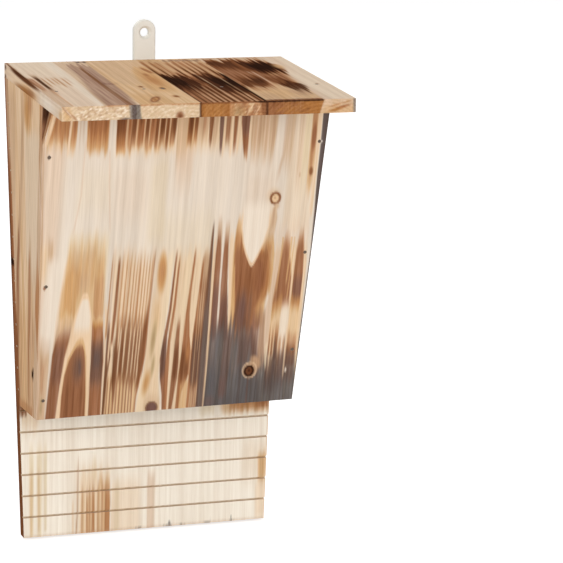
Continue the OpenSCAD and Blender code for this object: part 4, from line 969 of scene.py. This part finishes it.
@dataclass(frozen=True)
class Facet:
    """A face of a board that is dressed as one canvas.

    outward picks the mesh faces by their direction, within the spread. u_axis and v_axis, which starts at
    v_origin, turn a place in the box's own millimetres (x, depth, drop) into the canvas, and slicing says how
    finely it is cut. Where a face is grooved, what lies deeper than the face itself, in a saw cut, is painted
    darker as painted shade.
    """

    outward: Vector
    u_axis: Vector
    v_axis: Vector
    marks: tuple[Mark, ...]
    base: Tone
    other: Tone
    slicing: Slicing
    seed: int
    v_origin: float = 0.0
    spread: float = 0.9
    grooved: bool = False


def box_mm(points: np.ndarray) -> np.ndarray:
    """Turns points of the object's frame, in metres, into x, depth and drop of the box, in millimetres."""
    return np.column_stack((points[:, 0] / MM, -points[:, 1] / MM - BAR_THICKNESS, -points[:, 2] / MM - HOLE_RISE))


def to_frame(axis: Vector) -> Vector:
    """Turns a direction in x, depth and drop into one of length 1 in the object's frame."""
    return Vector((axis.x, -axis.y, -axis.z)).normalized()


def merged_copy(node: str) -> bmesh.types.BMesh:
    """Copies a CAD node's mesh, with its loose triangles joined and flat faces made whole.

    Args:
        node: name of the CAD node.

    Returns:
        A bmesh that the caller frees.
    """
    bm = bmesh.new()
    bm.from_mesh(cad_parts[node].data)
    bmesh.ops.remove_doubles(bm, verts=bm.verts, dist=WELD)
    bmesh.ops.dissolve_limit(bm, angle_limit=FLAT, verts=bm.verts, edges=bm.edges)
    return bm


def slice_faces(bm: bmesh.types.BMesh, faces: list[bmesh.types.BMFace], normal: Vector, step: float
                ) -> list[bmesh.types.BMFace]:
    """Cuts faces into strips by parallel planes.

    Args:
        bm: the mesh.
        faces: the faces to cut.
        normal: direction from plane to plane, of length 1.
        step: distance between the planes, in metres.

    Returns:
        The faces that the given ones have become.
    """
    def reach(face: bmesh.types.BMFace) -> tuple[float, float]:
        """Lowest and highest place of a face along the normal."""
        places = [normal.dot(v.co) for v in face.verts]
        return min(places), max(places)

    waiting = [(f, *reach(f)) for f in faces]
    if not waiting:
        return faces
    low, high = min(w[1] for w in waiting), max(w[2] for w in waiting)
    count = max(1, round((high - low) / step))
    done: list[bmesh.types.BMFace] = []
    for i in range(1, count):
        at = low + (high - low) * i / count
        done += [f for f, _, end in waiting if end <= at + TOUCH]
        beyond = [w for w in waiting if w[1] >= at - TOUCH and w[2] > at + TOUCH]
        crossed = [f for f, start, end in waiting if start < at - TOUCH and end > at + TOUCH]
        if crossed:
            edges, corners = {e for f in crossed for e in f.edges}, {v for f in crossed for v in f.verts}
            cut = bmesh.ops.bisect_plane(bm, geom=crossed + list(edges) + list(corners), dist=TOUCH,
                                         plane_co=normal * at, plane_no=normal)
            for piece in cut["geom"]:
                if isinstance(piece, bmesh.types.BMFace):
                    start, end = reach(piece)
                    if end > at + TOUCH:
                        beyond.append((piece, start, end))
                    else:
                        done.append(piece)
        waiting = beyond
    return done + [w[0] for w in waiting]


class Board:
    """One board: a finely sliced copy of its CAD solid that carries the marks of the flame, with some painted shade and
    glints.
    """

    GROOVE_LIP = 0.5        # mm under the face where the painted shade in a saw cut starts
    GROOVE_PAINTED_SHADE = 0.4
    REST_SEED = 3           # for the small faces that no facet takes

    def __init__(self, node: str, facets: tuple[Facet, ...], grain: tuple[Vector, Vector, Vector], pith: Vector,
                 slot: str) -> None:
        """Notes what the board is made of.

        Args:
            node: name of its CAD node, which the piece stands for.
            facets: the faces that are dressed, the first that fits a mesh face wins.
            grain: across, thickness and along directions of the wood, in x, depth and drop.
            pith: centre of the growth rings, in x, depth and drop.
            slot: material slot of the record; not used.
        """
        self.node, self.facets, self.grain, self.pith, self.slot = node, facets, grain, pith, slot

    def build(self, finish: bpy.types.Material) -> bpy.types.Object:
        """Makes the piece.

        Args:
            finish: the wood material.

        Returns:
            The piece, riding on the object.
        """
        bm = merged_copy(self.node)
        for facet in self.facets:
            way = to_frame(facet.outward)
            bm.normal_update()
            faces = [f for f in bm.faces if f.normal.dot(way) > facet.spread]
            faces = slice_faces(bm, faces, to_frame(facet.u_axis), facet.slicing.across * MM)
            slice_faces(bm, faces, to_frame(facet.v_axis), facet.slicing.along * MM)
        mesh = bpy.data.meshes.new(self.node + "_wood")
        bm.to_mesh(mesh)
        bm.free()
        self._dress(mesh)
        mesh.materials.append(finish)
        piece = bpy.data.objects.new(self.node + "_wood", mesh)
        bpy.context.scene.collection.objects.link(piece)
        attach(piece, "root")
        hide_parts(self.node)
        LOG.info("%s: %d faces", piece.name, len(mesh.polygons))
        return piece

    def _dress(self, mesh: bpy.types.Mesh) -> None:
        """Writes the flame's colours, with the painted shade and glints among them, and the place in the wood to the
        mesh's corners.

        Args:
            mesh: the sliced mesh.
        """
        at, facing = self._corners(mesh)
        rgb = np.empty((len(at), 3))
        free = np.ones(len(at), bool)
        for facet in self.facets:
            here = np.flatnonzero(free & (facing @ np.array(to_frame(facet.outward)) > facet.spread))
            if not len(here):
                continue
            free[here] = False
            u = at[here] @ np.array(facet.u_axis)
            v = at[here] @ np.array(facet.v_axis) - facet.v_origin
            canvas = Canvas(u, v, facet.base, facet.other, facet.seed)
            for mark in facet.marks:
                mark.paint(canvas)
            # painted shade: the saw cuts of a grooved face get darker the deeper they lie
            if facet.grooved:
                level = at[here] @ np.array(facet.outward)
                canvas.lay(smooth(level.max() - level - self.GROOVE_LIP) * self.GROOVE_PAINTED_SHADE, Tone.OLIVE)
            rgb[here] = canvas.rgb
        rest = np.flatnonzero(free)
        rgb[rest] = Canvas(at[rest, 0], at[rest, 2], Tone.BLUSH, Tone.TAN, self.REST_SEED).rgb
        colours = np.ones((len(at), 4), np.float32)
        colours[:, :3] = to_linear(rgb)
        mesh.attributes.new("scorch_and_painted_light", "FLOAT_COLOR", "CORNER").data.foreach_set("color", colours.ravel())
        axes = np.array([np.array(a.normalized()) for a in self.grain])
        wood = (at - np.array(self.pith)) @ axes.T
        mesh.attributes.new("wood_place", "FLOAT_VECTOR", "CORNER").data.foreach_set(
            "vector", wood.astype(np.float32).ravel())

    def _corners(self, mesh: bpy.types.Mesh) -> tuple[np.ndarray, np.ndarray]:
        """Reads the place of each mesh corner, in the box's millimetres, and the direction of its face.

        Args:
            mesh: the sliced mesh.

        Returns:
            The places and the directions, a row each.
        """
        vertex_of = np.empty(len(mesh.loops), int)
        mesh.loops.foreach_get("vertex_index", vertex_of)
        places = np.empty(len(mesh.vertices) * 3)
        mesh.vertices.foreach_get("co", places)
        normals = np.empty(len(mesh.polygons) * 3)
        mesh.polygons.foreach_get("normal", normals)
        sizes = np.empty(len(mesh.polygons), int)
        mesh.polygons.foreach_get("loop_total", sizes)
        return box_mm(places.reshape(-1, 3)[vertex_of]), np.repeat(normals.reshape(-1, 3), sizes, axis=0)


class Network:
    """The nodes of a material or of the world, with the few kinds that the finishes share."""

    def __init__(self, owner: bpy.types.Material | bpy.types.World) -> None:
        """Switches the nodes on.

        Args:
            owner: the material or world.
        """
        owner.use_nodes = True
        self.nodes, self.links = owner.node_tree.nodes, owner.node_tree.links

    def put(self, value: Value, at: Socket) -> None:
        """Links a socket to an input, or sets the input to a plain value.

        Args:
            value: the socket or plain value.
            at: the input.
        """
        if isinstance(value, bpy.types.NodeSocket):
            self.links.new(value, at)
        else:
            at.default_value = value

    def add(self, kind: str, **values: Value) -> bpy.types.Node:
        """Adds a node.

        Args:
            kind: its type, without ShaderNode.
            values: its inputs by name, with _ for a blank.

        Returns:
            The node.
        """
        node = self.nodes.new("ShaderNode" + kind)
        for name, value in values.items():
            self.put(value, node.inputs[name.replace("_", " ")])
        return node

    def attribute(self, name: str, output: str) -> Socket:
        """Reads an attribute of the mesh.

        Args:
            name: of the attribute.
            output: of the node, such as Color.

        Returns:
            That output.
        """
        node = self.add("Attribute")
        node.attribute_name = name
        return node.outputs[output]

    def compute(self, operation: str, *values: Value) -> Socket:
        """Works out a number from others.

        Args:
            operation: such as MULTIPLY.
            values: the numbers, in the operation's order.

        Returns:
            The result.
        """
        node = self.add("Math")
        node.operation = operation
        for i, value in enumerate(values):
            self.put(value, node.inputs[i])
        return node.outputs[0]

    def remap(self, value: Socket, old: Span, new: Span) -> Socket:
        """Turns one range of a value into another, and clamps it there."""
        node = self.add("MapRange", Value=value, From_Min=old[0], From_Max=old[1], To_Min=new[0], To_Max=new[1])
        return node.outputs["Result"]

    def mix(self, factor: Socket, first: Value, second: Value, blend: str = "MIX") -> Socket:
        """Mixes two colours.

        Args:
            factor: share of the second one.
            first: a colour.
            second: another.
            blend: the way to mix them.

        Returns:
            The mixed colour.
        """
        node = self.add("Mix")
        node.data_type, node.blend_type = "RGBA", blend
        self.put(factor, node.inputs["Factor"])
        self.put(first, node.inputs[6])
        self.put(second, node.inputs[7])
        return node.outputs[2]

    def noise(self, place: Socket, scale: float, detail: float = 2.0, roughness: float = 0.5) -> Socket:
        """Adds noise about 0.5."""
        return self.add("TexNoise", Vector=place, Scale=scale, Detail=detail, Roughness=roughness).outputs["Fac"]

    def bump(self, height: Socket, strength: float, depth: float) -> Socket:
        """Makes the normal of a surface with the height given."""
        return self.add("Bump", Height=height, Strength=strength, Distance=depth).outputs["Normal"]

    def clouded(self, scale: float, dark: Triple, light: Triple, roughness: Span) -> Socket:
        """Gives a surface a colour and a roughness that vary softly from place to place.

        Args:
            scale: of the clouds.
            dark: its darkest colour.
            light: its lightest colour.
            roughness: its lowest and highest roughness.

        Returns:
            The place on the object, for more of the finish.
        """
        place = self.add("TexCoord").outputs["Object"]
        cloud = self.noise(place, scale, 3.0)
        surface = self.nodes["Principled BSDF"].inputs
        self.put(self.mix(cloud, (*dark, 1.0), (*light, 1.0)), surface["Base Color"])
        self.put(self.remap(cloud, (0.0, 1.0), roughness), surface["Roughness"])
        return place

    def seen(self, *kinds: str) -> Socket:
        """Gives 1 for light paths of the kinds named, and 0 for others.

        Args:
            kinds: outputs of the light path node.

        Returns:
            The 1 or 0.
        """
        rays = self.add("LightPath").outputs
        level = rays[kinds[0]]
        for kind in kinds[1:]:
            level = self.compute("MAXIMUM", level, rays[kind])
        return level


@dataclass(frozen=True)
class FlamedWood:
    """Softwood burnt by a gas flame and brushed: fine fibres, growth rings and a matt char.

    Sizes of the pattern are in millimetres across and along the grain. Its fibres, bands and rings add up in
    the shares given, and tint the board's colours, the flame's marks with some painted shade and glints, between
    the furrow's and the ridge's. contrast, roughness and gloss each turn a range of the grey level of those colours
    into another, as char is duller than wood.
    """

    fibre: Span = (0.8, 34.0)
    band: Span = (3.4, 150.0)
    ring: Span = (3.1, 300.0)
    shares: Triple = (0.55, 0.28, 0.12)
    spread: Span = (0.3, 0.7)
    furrow: Colour = (0.72, 0.65, 0.57, 1.0)
    ridge: Colour = (1.24, 1.3, 1.38, 1.0)
    contrast: tuple[Span, Span] = ((0.1, 0.7), (1.0, 0.3))
    roughness: tuple[Span, Span] = ((0.03, 0.5), (0.82, 0.6))
    gloss: tuple[Span, Span] = ((0.12, 0.55), (0.0, 0.07))
    relief: float = 0.00022       # m

    def material(self) -> bpy.types.Material:
        """Builds the node material.

        Returns:
            The material.
        """
        mat = bpy.data.materials.new("flamed_softwood")
        net = Network(mat)
        surface = net.nodes["Principled BSDF"].inputs
        colour = net.attribute("scorch_and_painted_light", "Color")
        pattern = self._pattern(net, net.attribute("wood_place", "Vector"))
        grey = net.add("RGBToBW", Color=colour).outputs[0]
        contrast = net.remap(grey, *self.contrast)
        deep = net.mix(contrast, colour, self.furrow, "MULTIPLY")
        bright = net.mix(contrast, colour, self.ridge, "MULTIPLY")
        net.put(net.mix(net.remap(pattern, self.spread, (0.0, 1.0)), deep, bright), surface["Base Color"])
        net.put(net.remap(grey, *self.roughness), surface["Roughness"])
        net.put(net.remap(grey, *self.gloss), surface["Specular IOR Level"])
        net.put(net.bump(pattern, 0.5, self.relief), surface["Normal"])
        return mat

    def _pattern(self, net: Network, place: Socket) -> Socket:
        """Adds up fibres, bands and the growth rings round the pith, wavy along the board.

        Args:
            net: the material's nodes.
            place: the place in the wood, in millimetres.

        Returns:
            The height of the pattern, about 0.5.
        """
        stretched = [net.add("Mapping", Vector=place, Scale=(1 / across, 1 / across, 1 / along)).outputs["Vector"]
                     for across, along in (self.fibre, self.band, self.ring)]
        fibre, band = net.noise(stretched[0], 1.0, 4.0, 0.55), net.noise(stretched[1], 1.0, 2.0, 0.55)
        rings = net.add("TexWave", Vector=stretched[2], Scale=0.314, Distortion=2.2, Detail=1.5, Detail_Scale=0.12)
        rings.wave_type, rings.rings_direction = "RINGS", "Z"
        height = net.compute("MULTIPLY", band, self.shares[1])
        height = net.compute("MULTIPLY_ADD", fibre, self.shares[0], height)
        return net.compute("MULTIPLY_ADD", rings.outputs["Fac"], self.shares[2], height)


@dataclass(frozen=True)
class MouldedPlastic:
    """Satin off-white plastic with a faint moulding grain."""

    rgb: Triple = (0.79, 0.76, 0.68)
    shade: float = 0.9
    roughness: Span = (0.36, 0.5)
    relief: float = 0.0001        # m

    def material(self) -> bpy.types.Material:
        """Builds the node material.

        Returns:
            The material.
        """
        mat = bpy.data.materials.new("off_white_plastic")
        net = Network(mat)
        place = net.clouded(45.0, tuple(c * self.shade for c in self.rgb), self.rgb, self.roughness)
        skin = net.noise(place, 1400.0)
        net.put(net.bump(skin, 0.15, self.relief), net.nodes["Principled BSDF"].inputs["Normal"])
        return mat


@dataclass(frozen=True)
class FlamedSteel:
    """Steel of nails and screws, tarnished by the flame."""

    dark: Triple = (0.06, 0.04, 0.03)
    light: Triple = (0.2, 0.15, 0.11)
    roughness: Span = (0.45, 0.75)

    def material(self) -> bpy.types.Material:
        """Builds the node material.

        Returns:
            The material.
        """
        mat = bpy.data.materials.new("tarnished_steel")
        net = Network(mat)
        net.clouded(700.0, self.dark, self.light, self.roughness)
        surface = net.nodes["Principled BSDF"].inputs
        net.put(0.35, surface["Metallic"])
        net.put(0.2, surface["Specular IOR Level"])
        return mat


@dataclass
class BackBoard:
    """The grooved board that the box hangs by, five staves wide, each from a log of its own."""

    staves: int = 5

    def build(self, wood: bpy.types.Material) -> None:
        """Makes the staves, numbered from the right.

        Args:
            wood: the material of the boards.
        """
        facets = (
            Facet(DEPTH, ACROSS, DROP, BACK_MARKS, Tone.MILK, Tone.IVORY, Slicing(0.9, 3.4), 40, grooved=True),
            Facet(-DEPTH, ACROSS, DROP, HIDDEN_MARKS, Tone.CREAM, Tone.PALE, Slicing(1.8, 9.0), 41),
            Facet(-ACROSS, DEPTH, DROP, EDGE_MARKS, Tone.SIENNA, Tone.RUSSET, Slicing(1.2, 3.0), 42),
            Facet(ACROSS, DEPTH, DROP, FLAMED_MARKS, Tone.TAN, Tone.FAWN, Slicing(1.2, 4.0), 43),
            Facet(DROP, DEPTH, ACROSS, (), Tone.BLUSH, Tone.PALE, END_CUT, 44),
            Facet(-DROP, DEPTH, ACROSS, (), Tone.BLUSH, Tone.PALE, Slicing(1.5, 3.0), 45),
        )
        for i in range(1, self.staves + 1):
            log = 100 + i
            pith = Vector((120 - i * 53 + (log * 17) % 23, -60 + (log * 31) % 19, 0))
            Board(f"back_board_{i}", facets, (ACROSS, DEPTH, DROP), pith, "back_board").build(wood)


@dataclass
class SidePanels:
    """The two side panels, their grain parallel to the leaning front edge."""

    pith: Span = (190.0, 60.0)    # mm, outward and in depth

    def build(self, wood: bpy.types.Material) -> None:
        """Makes both panels.

        Args:
            wood: the material of the boards.
        """
        grain = (Vector((0, 1, FRONT_LEAN)), ACROSS, Vector((0, -FRONT_LEAN, 1)))
        for node, way, marks, seed in (("side_left", -1, LEFT_MARKS, 50), ("side_right", 1, FLAMED_MARKS, 60)):
            facets = (
                Facet(ACROSS * way, DEPTH, DROP, marks, Tone.PEACH, Tone.HONEY, Slicing(1.2, 3.2), seed),
                Facet(ACROSS * -way, DEPTH, DROP, HIDDEN_MARKS, Tone.CREAM, Tone.PALE, UNSEEN, seed + 1),
                Facet(DROP, DEPTH, ACROSS, (), Tone.BLUSH, Tone.TAN, END_CUT, seed + 2),
            )
            Board(node, facets, grain, Vector((way * self.pith[0], self.pith[1], 0)), "side_panels").build(wood)


@dataclass
class FrontPanel:
    """The leaning front panel, four staves wide, with its pale and burnt fields and the chip at its corner."""

    staves: int = 4
    chip_dip: float = 6.5 / 9.0

    def build(self, wood: bpy.types.Material) -> None:
        """Makes the staves, numbered from the left.

        Args:
            wood: the material of the boards.
        """
        out = Vector((0, 1, FRONT_LEAN))
        into_chip = out.normalized() + ACROSS * self.chip_dip
        facets = (
            Facet(out, ACROSS, DROP, FRONT_MARKS, Tone.OAT, Tone.CREAM, Slicing(0.65, 1.5), 70),
            Facet(into_chip, ACROSS, DROP, CHIP_MARKS, Tone.BLUSH, Tone.TAN, Slicing(0.8, 1.5), 75),
            Facet(-out, ACROSS, DROP, HIDDEN_MARKS, Tone.CREAM, Tone.PALE, UNSEEN, 71),
            Facet(-ACROSS, DEPTH, DROP, FLAMED_MARKS, Tone.BLUSH, Tone.TAN, Slicing(1.2, 3.0), 72),
            Facet(ACROSS, DEPTH, DROP, FLAMED_MARKS, Tone.TAN, Tone.FAWN, Slicing(1.2, 4.0), 73),
            Facet(DROP, DEPTH, ACROSS, (), Tone.TAN, Tone.FAWN, END_CUT, 74),
        )
        for i in range(1, self.staves + 1):
            pith = Vector((-150 + i * 60, 190.0 + (i * 29) % 17, 0))
            Board(f"front_board_{i}", facets, (ACROSS, out, Vector((0, -FRONT_LEAN, 1))), pith,
                  "front_panel").build(wood)


@dataclass
class Roof:
    """The sloping roof, four boards wide, the most burnt part."""

    boards: int = 4
    slope: float = math.tan(math.radians(4.5))
    thickness: float = 12.0

    def build(self, wood: bpy.types.Material) -> None:
        """Makes the boards, numbered from the left.

        Args:
            wood: the material of the boards.
        """
        up = Vector((0, self.slope, -1))
        below_top = Vector((0, -self.slope, 1))
        rise = -self.thickness / math.cos(math.atan(self.slope))
        facets = (
            Facet(up, ACROSS, DEPTH, ROOF_MARKS, Tone.PALE, Tone.BLUSH, Slicing(0.65, 2.1), 80),
            Facet(DEPTH, ACROSS, below_top, ROOF_FRONT_MARKS, Tone.TAN, Tone.BLUSH, Slicing(0.8, 0.9), 81, rise),
            Facet(-up, ACROSS, DEPTH, HIDDEN_MARKS, Tone.PALE, Tone.BLUSH, Slicing(2.0, 8.0), 82),
            Facet(-DEPTH, ACROSS, below_top, (), Tone.PALE, Tone.BLUSH, END_CUT, 83, rise),
            Facet(-ACROSS, DEPTH, below_top, ROOF_LEFT_MARKS, Tone.PALE, Tone.BLUSH, Slicing(2.0, 1.0), 84, rise),
            Facet(ACROSS, DEPTH, below_top, (), Tone.PALE, Tone.BLUSH, Slicing(2.0, 1.2), 85, rise),
        )
        for i in range(1, self.boards + 1):
            pith = Vector((-140 + i * 60, 0, 50.0 - (i * 23) % 19))
            Board(f"roof_board_{i}", facets, (ACROSS, up, Vector((0, 1, self.slope))), pith, "roof").build(wood)


@dataclass
class Fittings:
    """The hanger bar with its screws, and the nails. Their CAD meshes stay and get a finish."""

    bars: tuple[str, ...] = ("hanger",)
    steel: tuple[str, ...] = ("hanger_screws", "front_nails", "roof_nails", "back_nails")

    def build(self) -> None:
        """Gives each fitting its material."""
        for names, finish in ((self.bars, MouldedPlastic().material()), (self.steel, FlamedSteel().material())):
            for name in names:
                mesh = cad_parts[name].data
                mesh.materials.clear()
                mesh.materials.append(finish)
                LOG.info("%s: %s", name, finish.name)


@dataclass(frozen=True)
class Lamp:
    """A round soft lamp, in metres and watts."""

    name: str
    at: Triple
    size: float
    power: float

    def hang(self, aim: Triple) -> None:
        """Hangs the lamp and points it at a place.

        Args:
            aim: that place.
        """
        data = bpy.data.lights.new(self.name, "AREA")
        data.shape, data.size, data.energy = "DISK", self.size, self.power
        lamp = bpy.data.objects.new(self.name, data)
        bpy.context.scene.collection.objects.link(lamp)
        lamp.location = self.at
        lamp.rotation_euler = (Vector(aim) - Vector(self.at)).to_track_quat("-Z", "Y").to_euler()


@dataclass
class Studio:
    """Pale floor, soft lamps and the camera, in metres."""

    floor_drop: float = 0.4605
    floor_size: float = 60.0
    floor_grey: float = 0.82
    floor_glow: float = 0.62
    world_light: float = 0.45
    lamps: tuple[Lamp, ...] = (
        Lamp("key", (0.5, -2.9, 0.3), 2.2, 40.0),
        Lamp("fill", (-2.6, -1.7, 0.4), 2.4, 30.0),
        Lamp("top", (0.1, 0.4, 2.4), 1.6, 14.0),
        Lamp("rear", (-0.4, 3.0, 1.4), 2.4, 26.0),
    )
    aim: Triple = (0.0, -0.08, -0.22)
    eye: Triple = (-0.73317, -2.38055, 0.25717)
    right: Triple = (0.94023, -0.34017, 0.01613)
    up: Triple = (0.05011, 0.18505, 0.98145)
    lens: float = 176.83          # mm, before a sensor 36 mm wide
    sensor: float = 36.0

    def build(self) -> None:
        """Makes the whole set."""
        self._floor()
        self._world()
        for lamp in self.lamps:
            lamp.hang(self.aim)
        self._camera()
        bpy.context.scene.view_settings.view_transform = "Standard"
        LOG.info("studio: floor, world, %d lamps and camera", len(self.lamps))

    def _floor(self) -> None:
        """Lays the floor, white where nothing shades it."""
        bm = bmesh.new()
        bmesh.ops.create_grid(bm, x_segments=1, y_segments=1, size=self.floor_size / 2)
        bmesh.ops.translate(bm, verts=bm.verts, vec=(0, 0, -self.floor_drop))
        mesh = bpy.data.meshes.new("floor")
        bm.to_mesh(mesh)
        bm.free()
        mat = bpy.data.materials.new("white_floor")
        net = Network(mat)
        surface = net.nodes["Principled BSDF"].inputs
        net.put((self.floor_grey, self.floor_grey, self.floor_grey, 1.0), surface["Base Color"])
        net.put(0.9, surface["Roughness"])
        net.put(0.0, surface["Specular IOR Level"])
        net.put(WHITE, surface["Emission Color"])
        seen = net.seen("Is Camera Ray", "Is Glossy Ray")
        net.put(net.compute("MULTIPLY", seen, self.floor_glow), surface["Emission Strength"])
        mesh.materials.append(mat)
        floor = bpy.data.objects.new("floor", mesh)
        bpy.context.scene.collection.objects.link(floor)

    def _world(self) -> None:
        """Makes the world white to the eye and in reflections, and a soft light otherwise."""
        world = bpy.data.worlds.new("studio")
        bpy.context.scene.world = world
        net = Network(world)
        shade = net.nodes["Background"].inputs
        net.put(WHITE, shade["Color"])
        seen = net.seen("Is Camera Ray", "Is Glossy Ray", "Is Transmission Ray")
        net.put(net.remap(seen, (0.0, 1.0), (self.world_light, 1.0)), shade["Strength"])

    def _camera(self) -> None:
        """Sets the camera where the photo was taken from."""
        data = bpy.data.cameras.new("camera")
        data.lens, data.sensor_width = self.lens, self.sensor
        data.clip_start, data.clip_end = 0.05, 100.0
        camera = bpy.data.objects.new("camera", data)
        bpy.context.scene.collection.objects.link(camera)
        right = Vector(self.right).normalized()
        back = right.cross(Vector(self.up)).normalized()
        turn = Matrix((right, back.cross(right), back)).transposed().to_4x4()
        camera.matrix_world = Matrix.Translation(self.eye) @ turn
        bpy.context.scene.camera = camera


def main() -> None:
    """Builds and dresses the bat box and its studio."""
    logging.basicConfig(level=logging.INFO, format="%(name)s: %(message)s")
    wood = FlamedWood().material()
    for part in (BackBoard(), SidePanels(), FrontPanel(), Roof()):
        part.build(wood)
    Fittings().build()
    Studio().build()


if __name__ == "__main__":
    main()
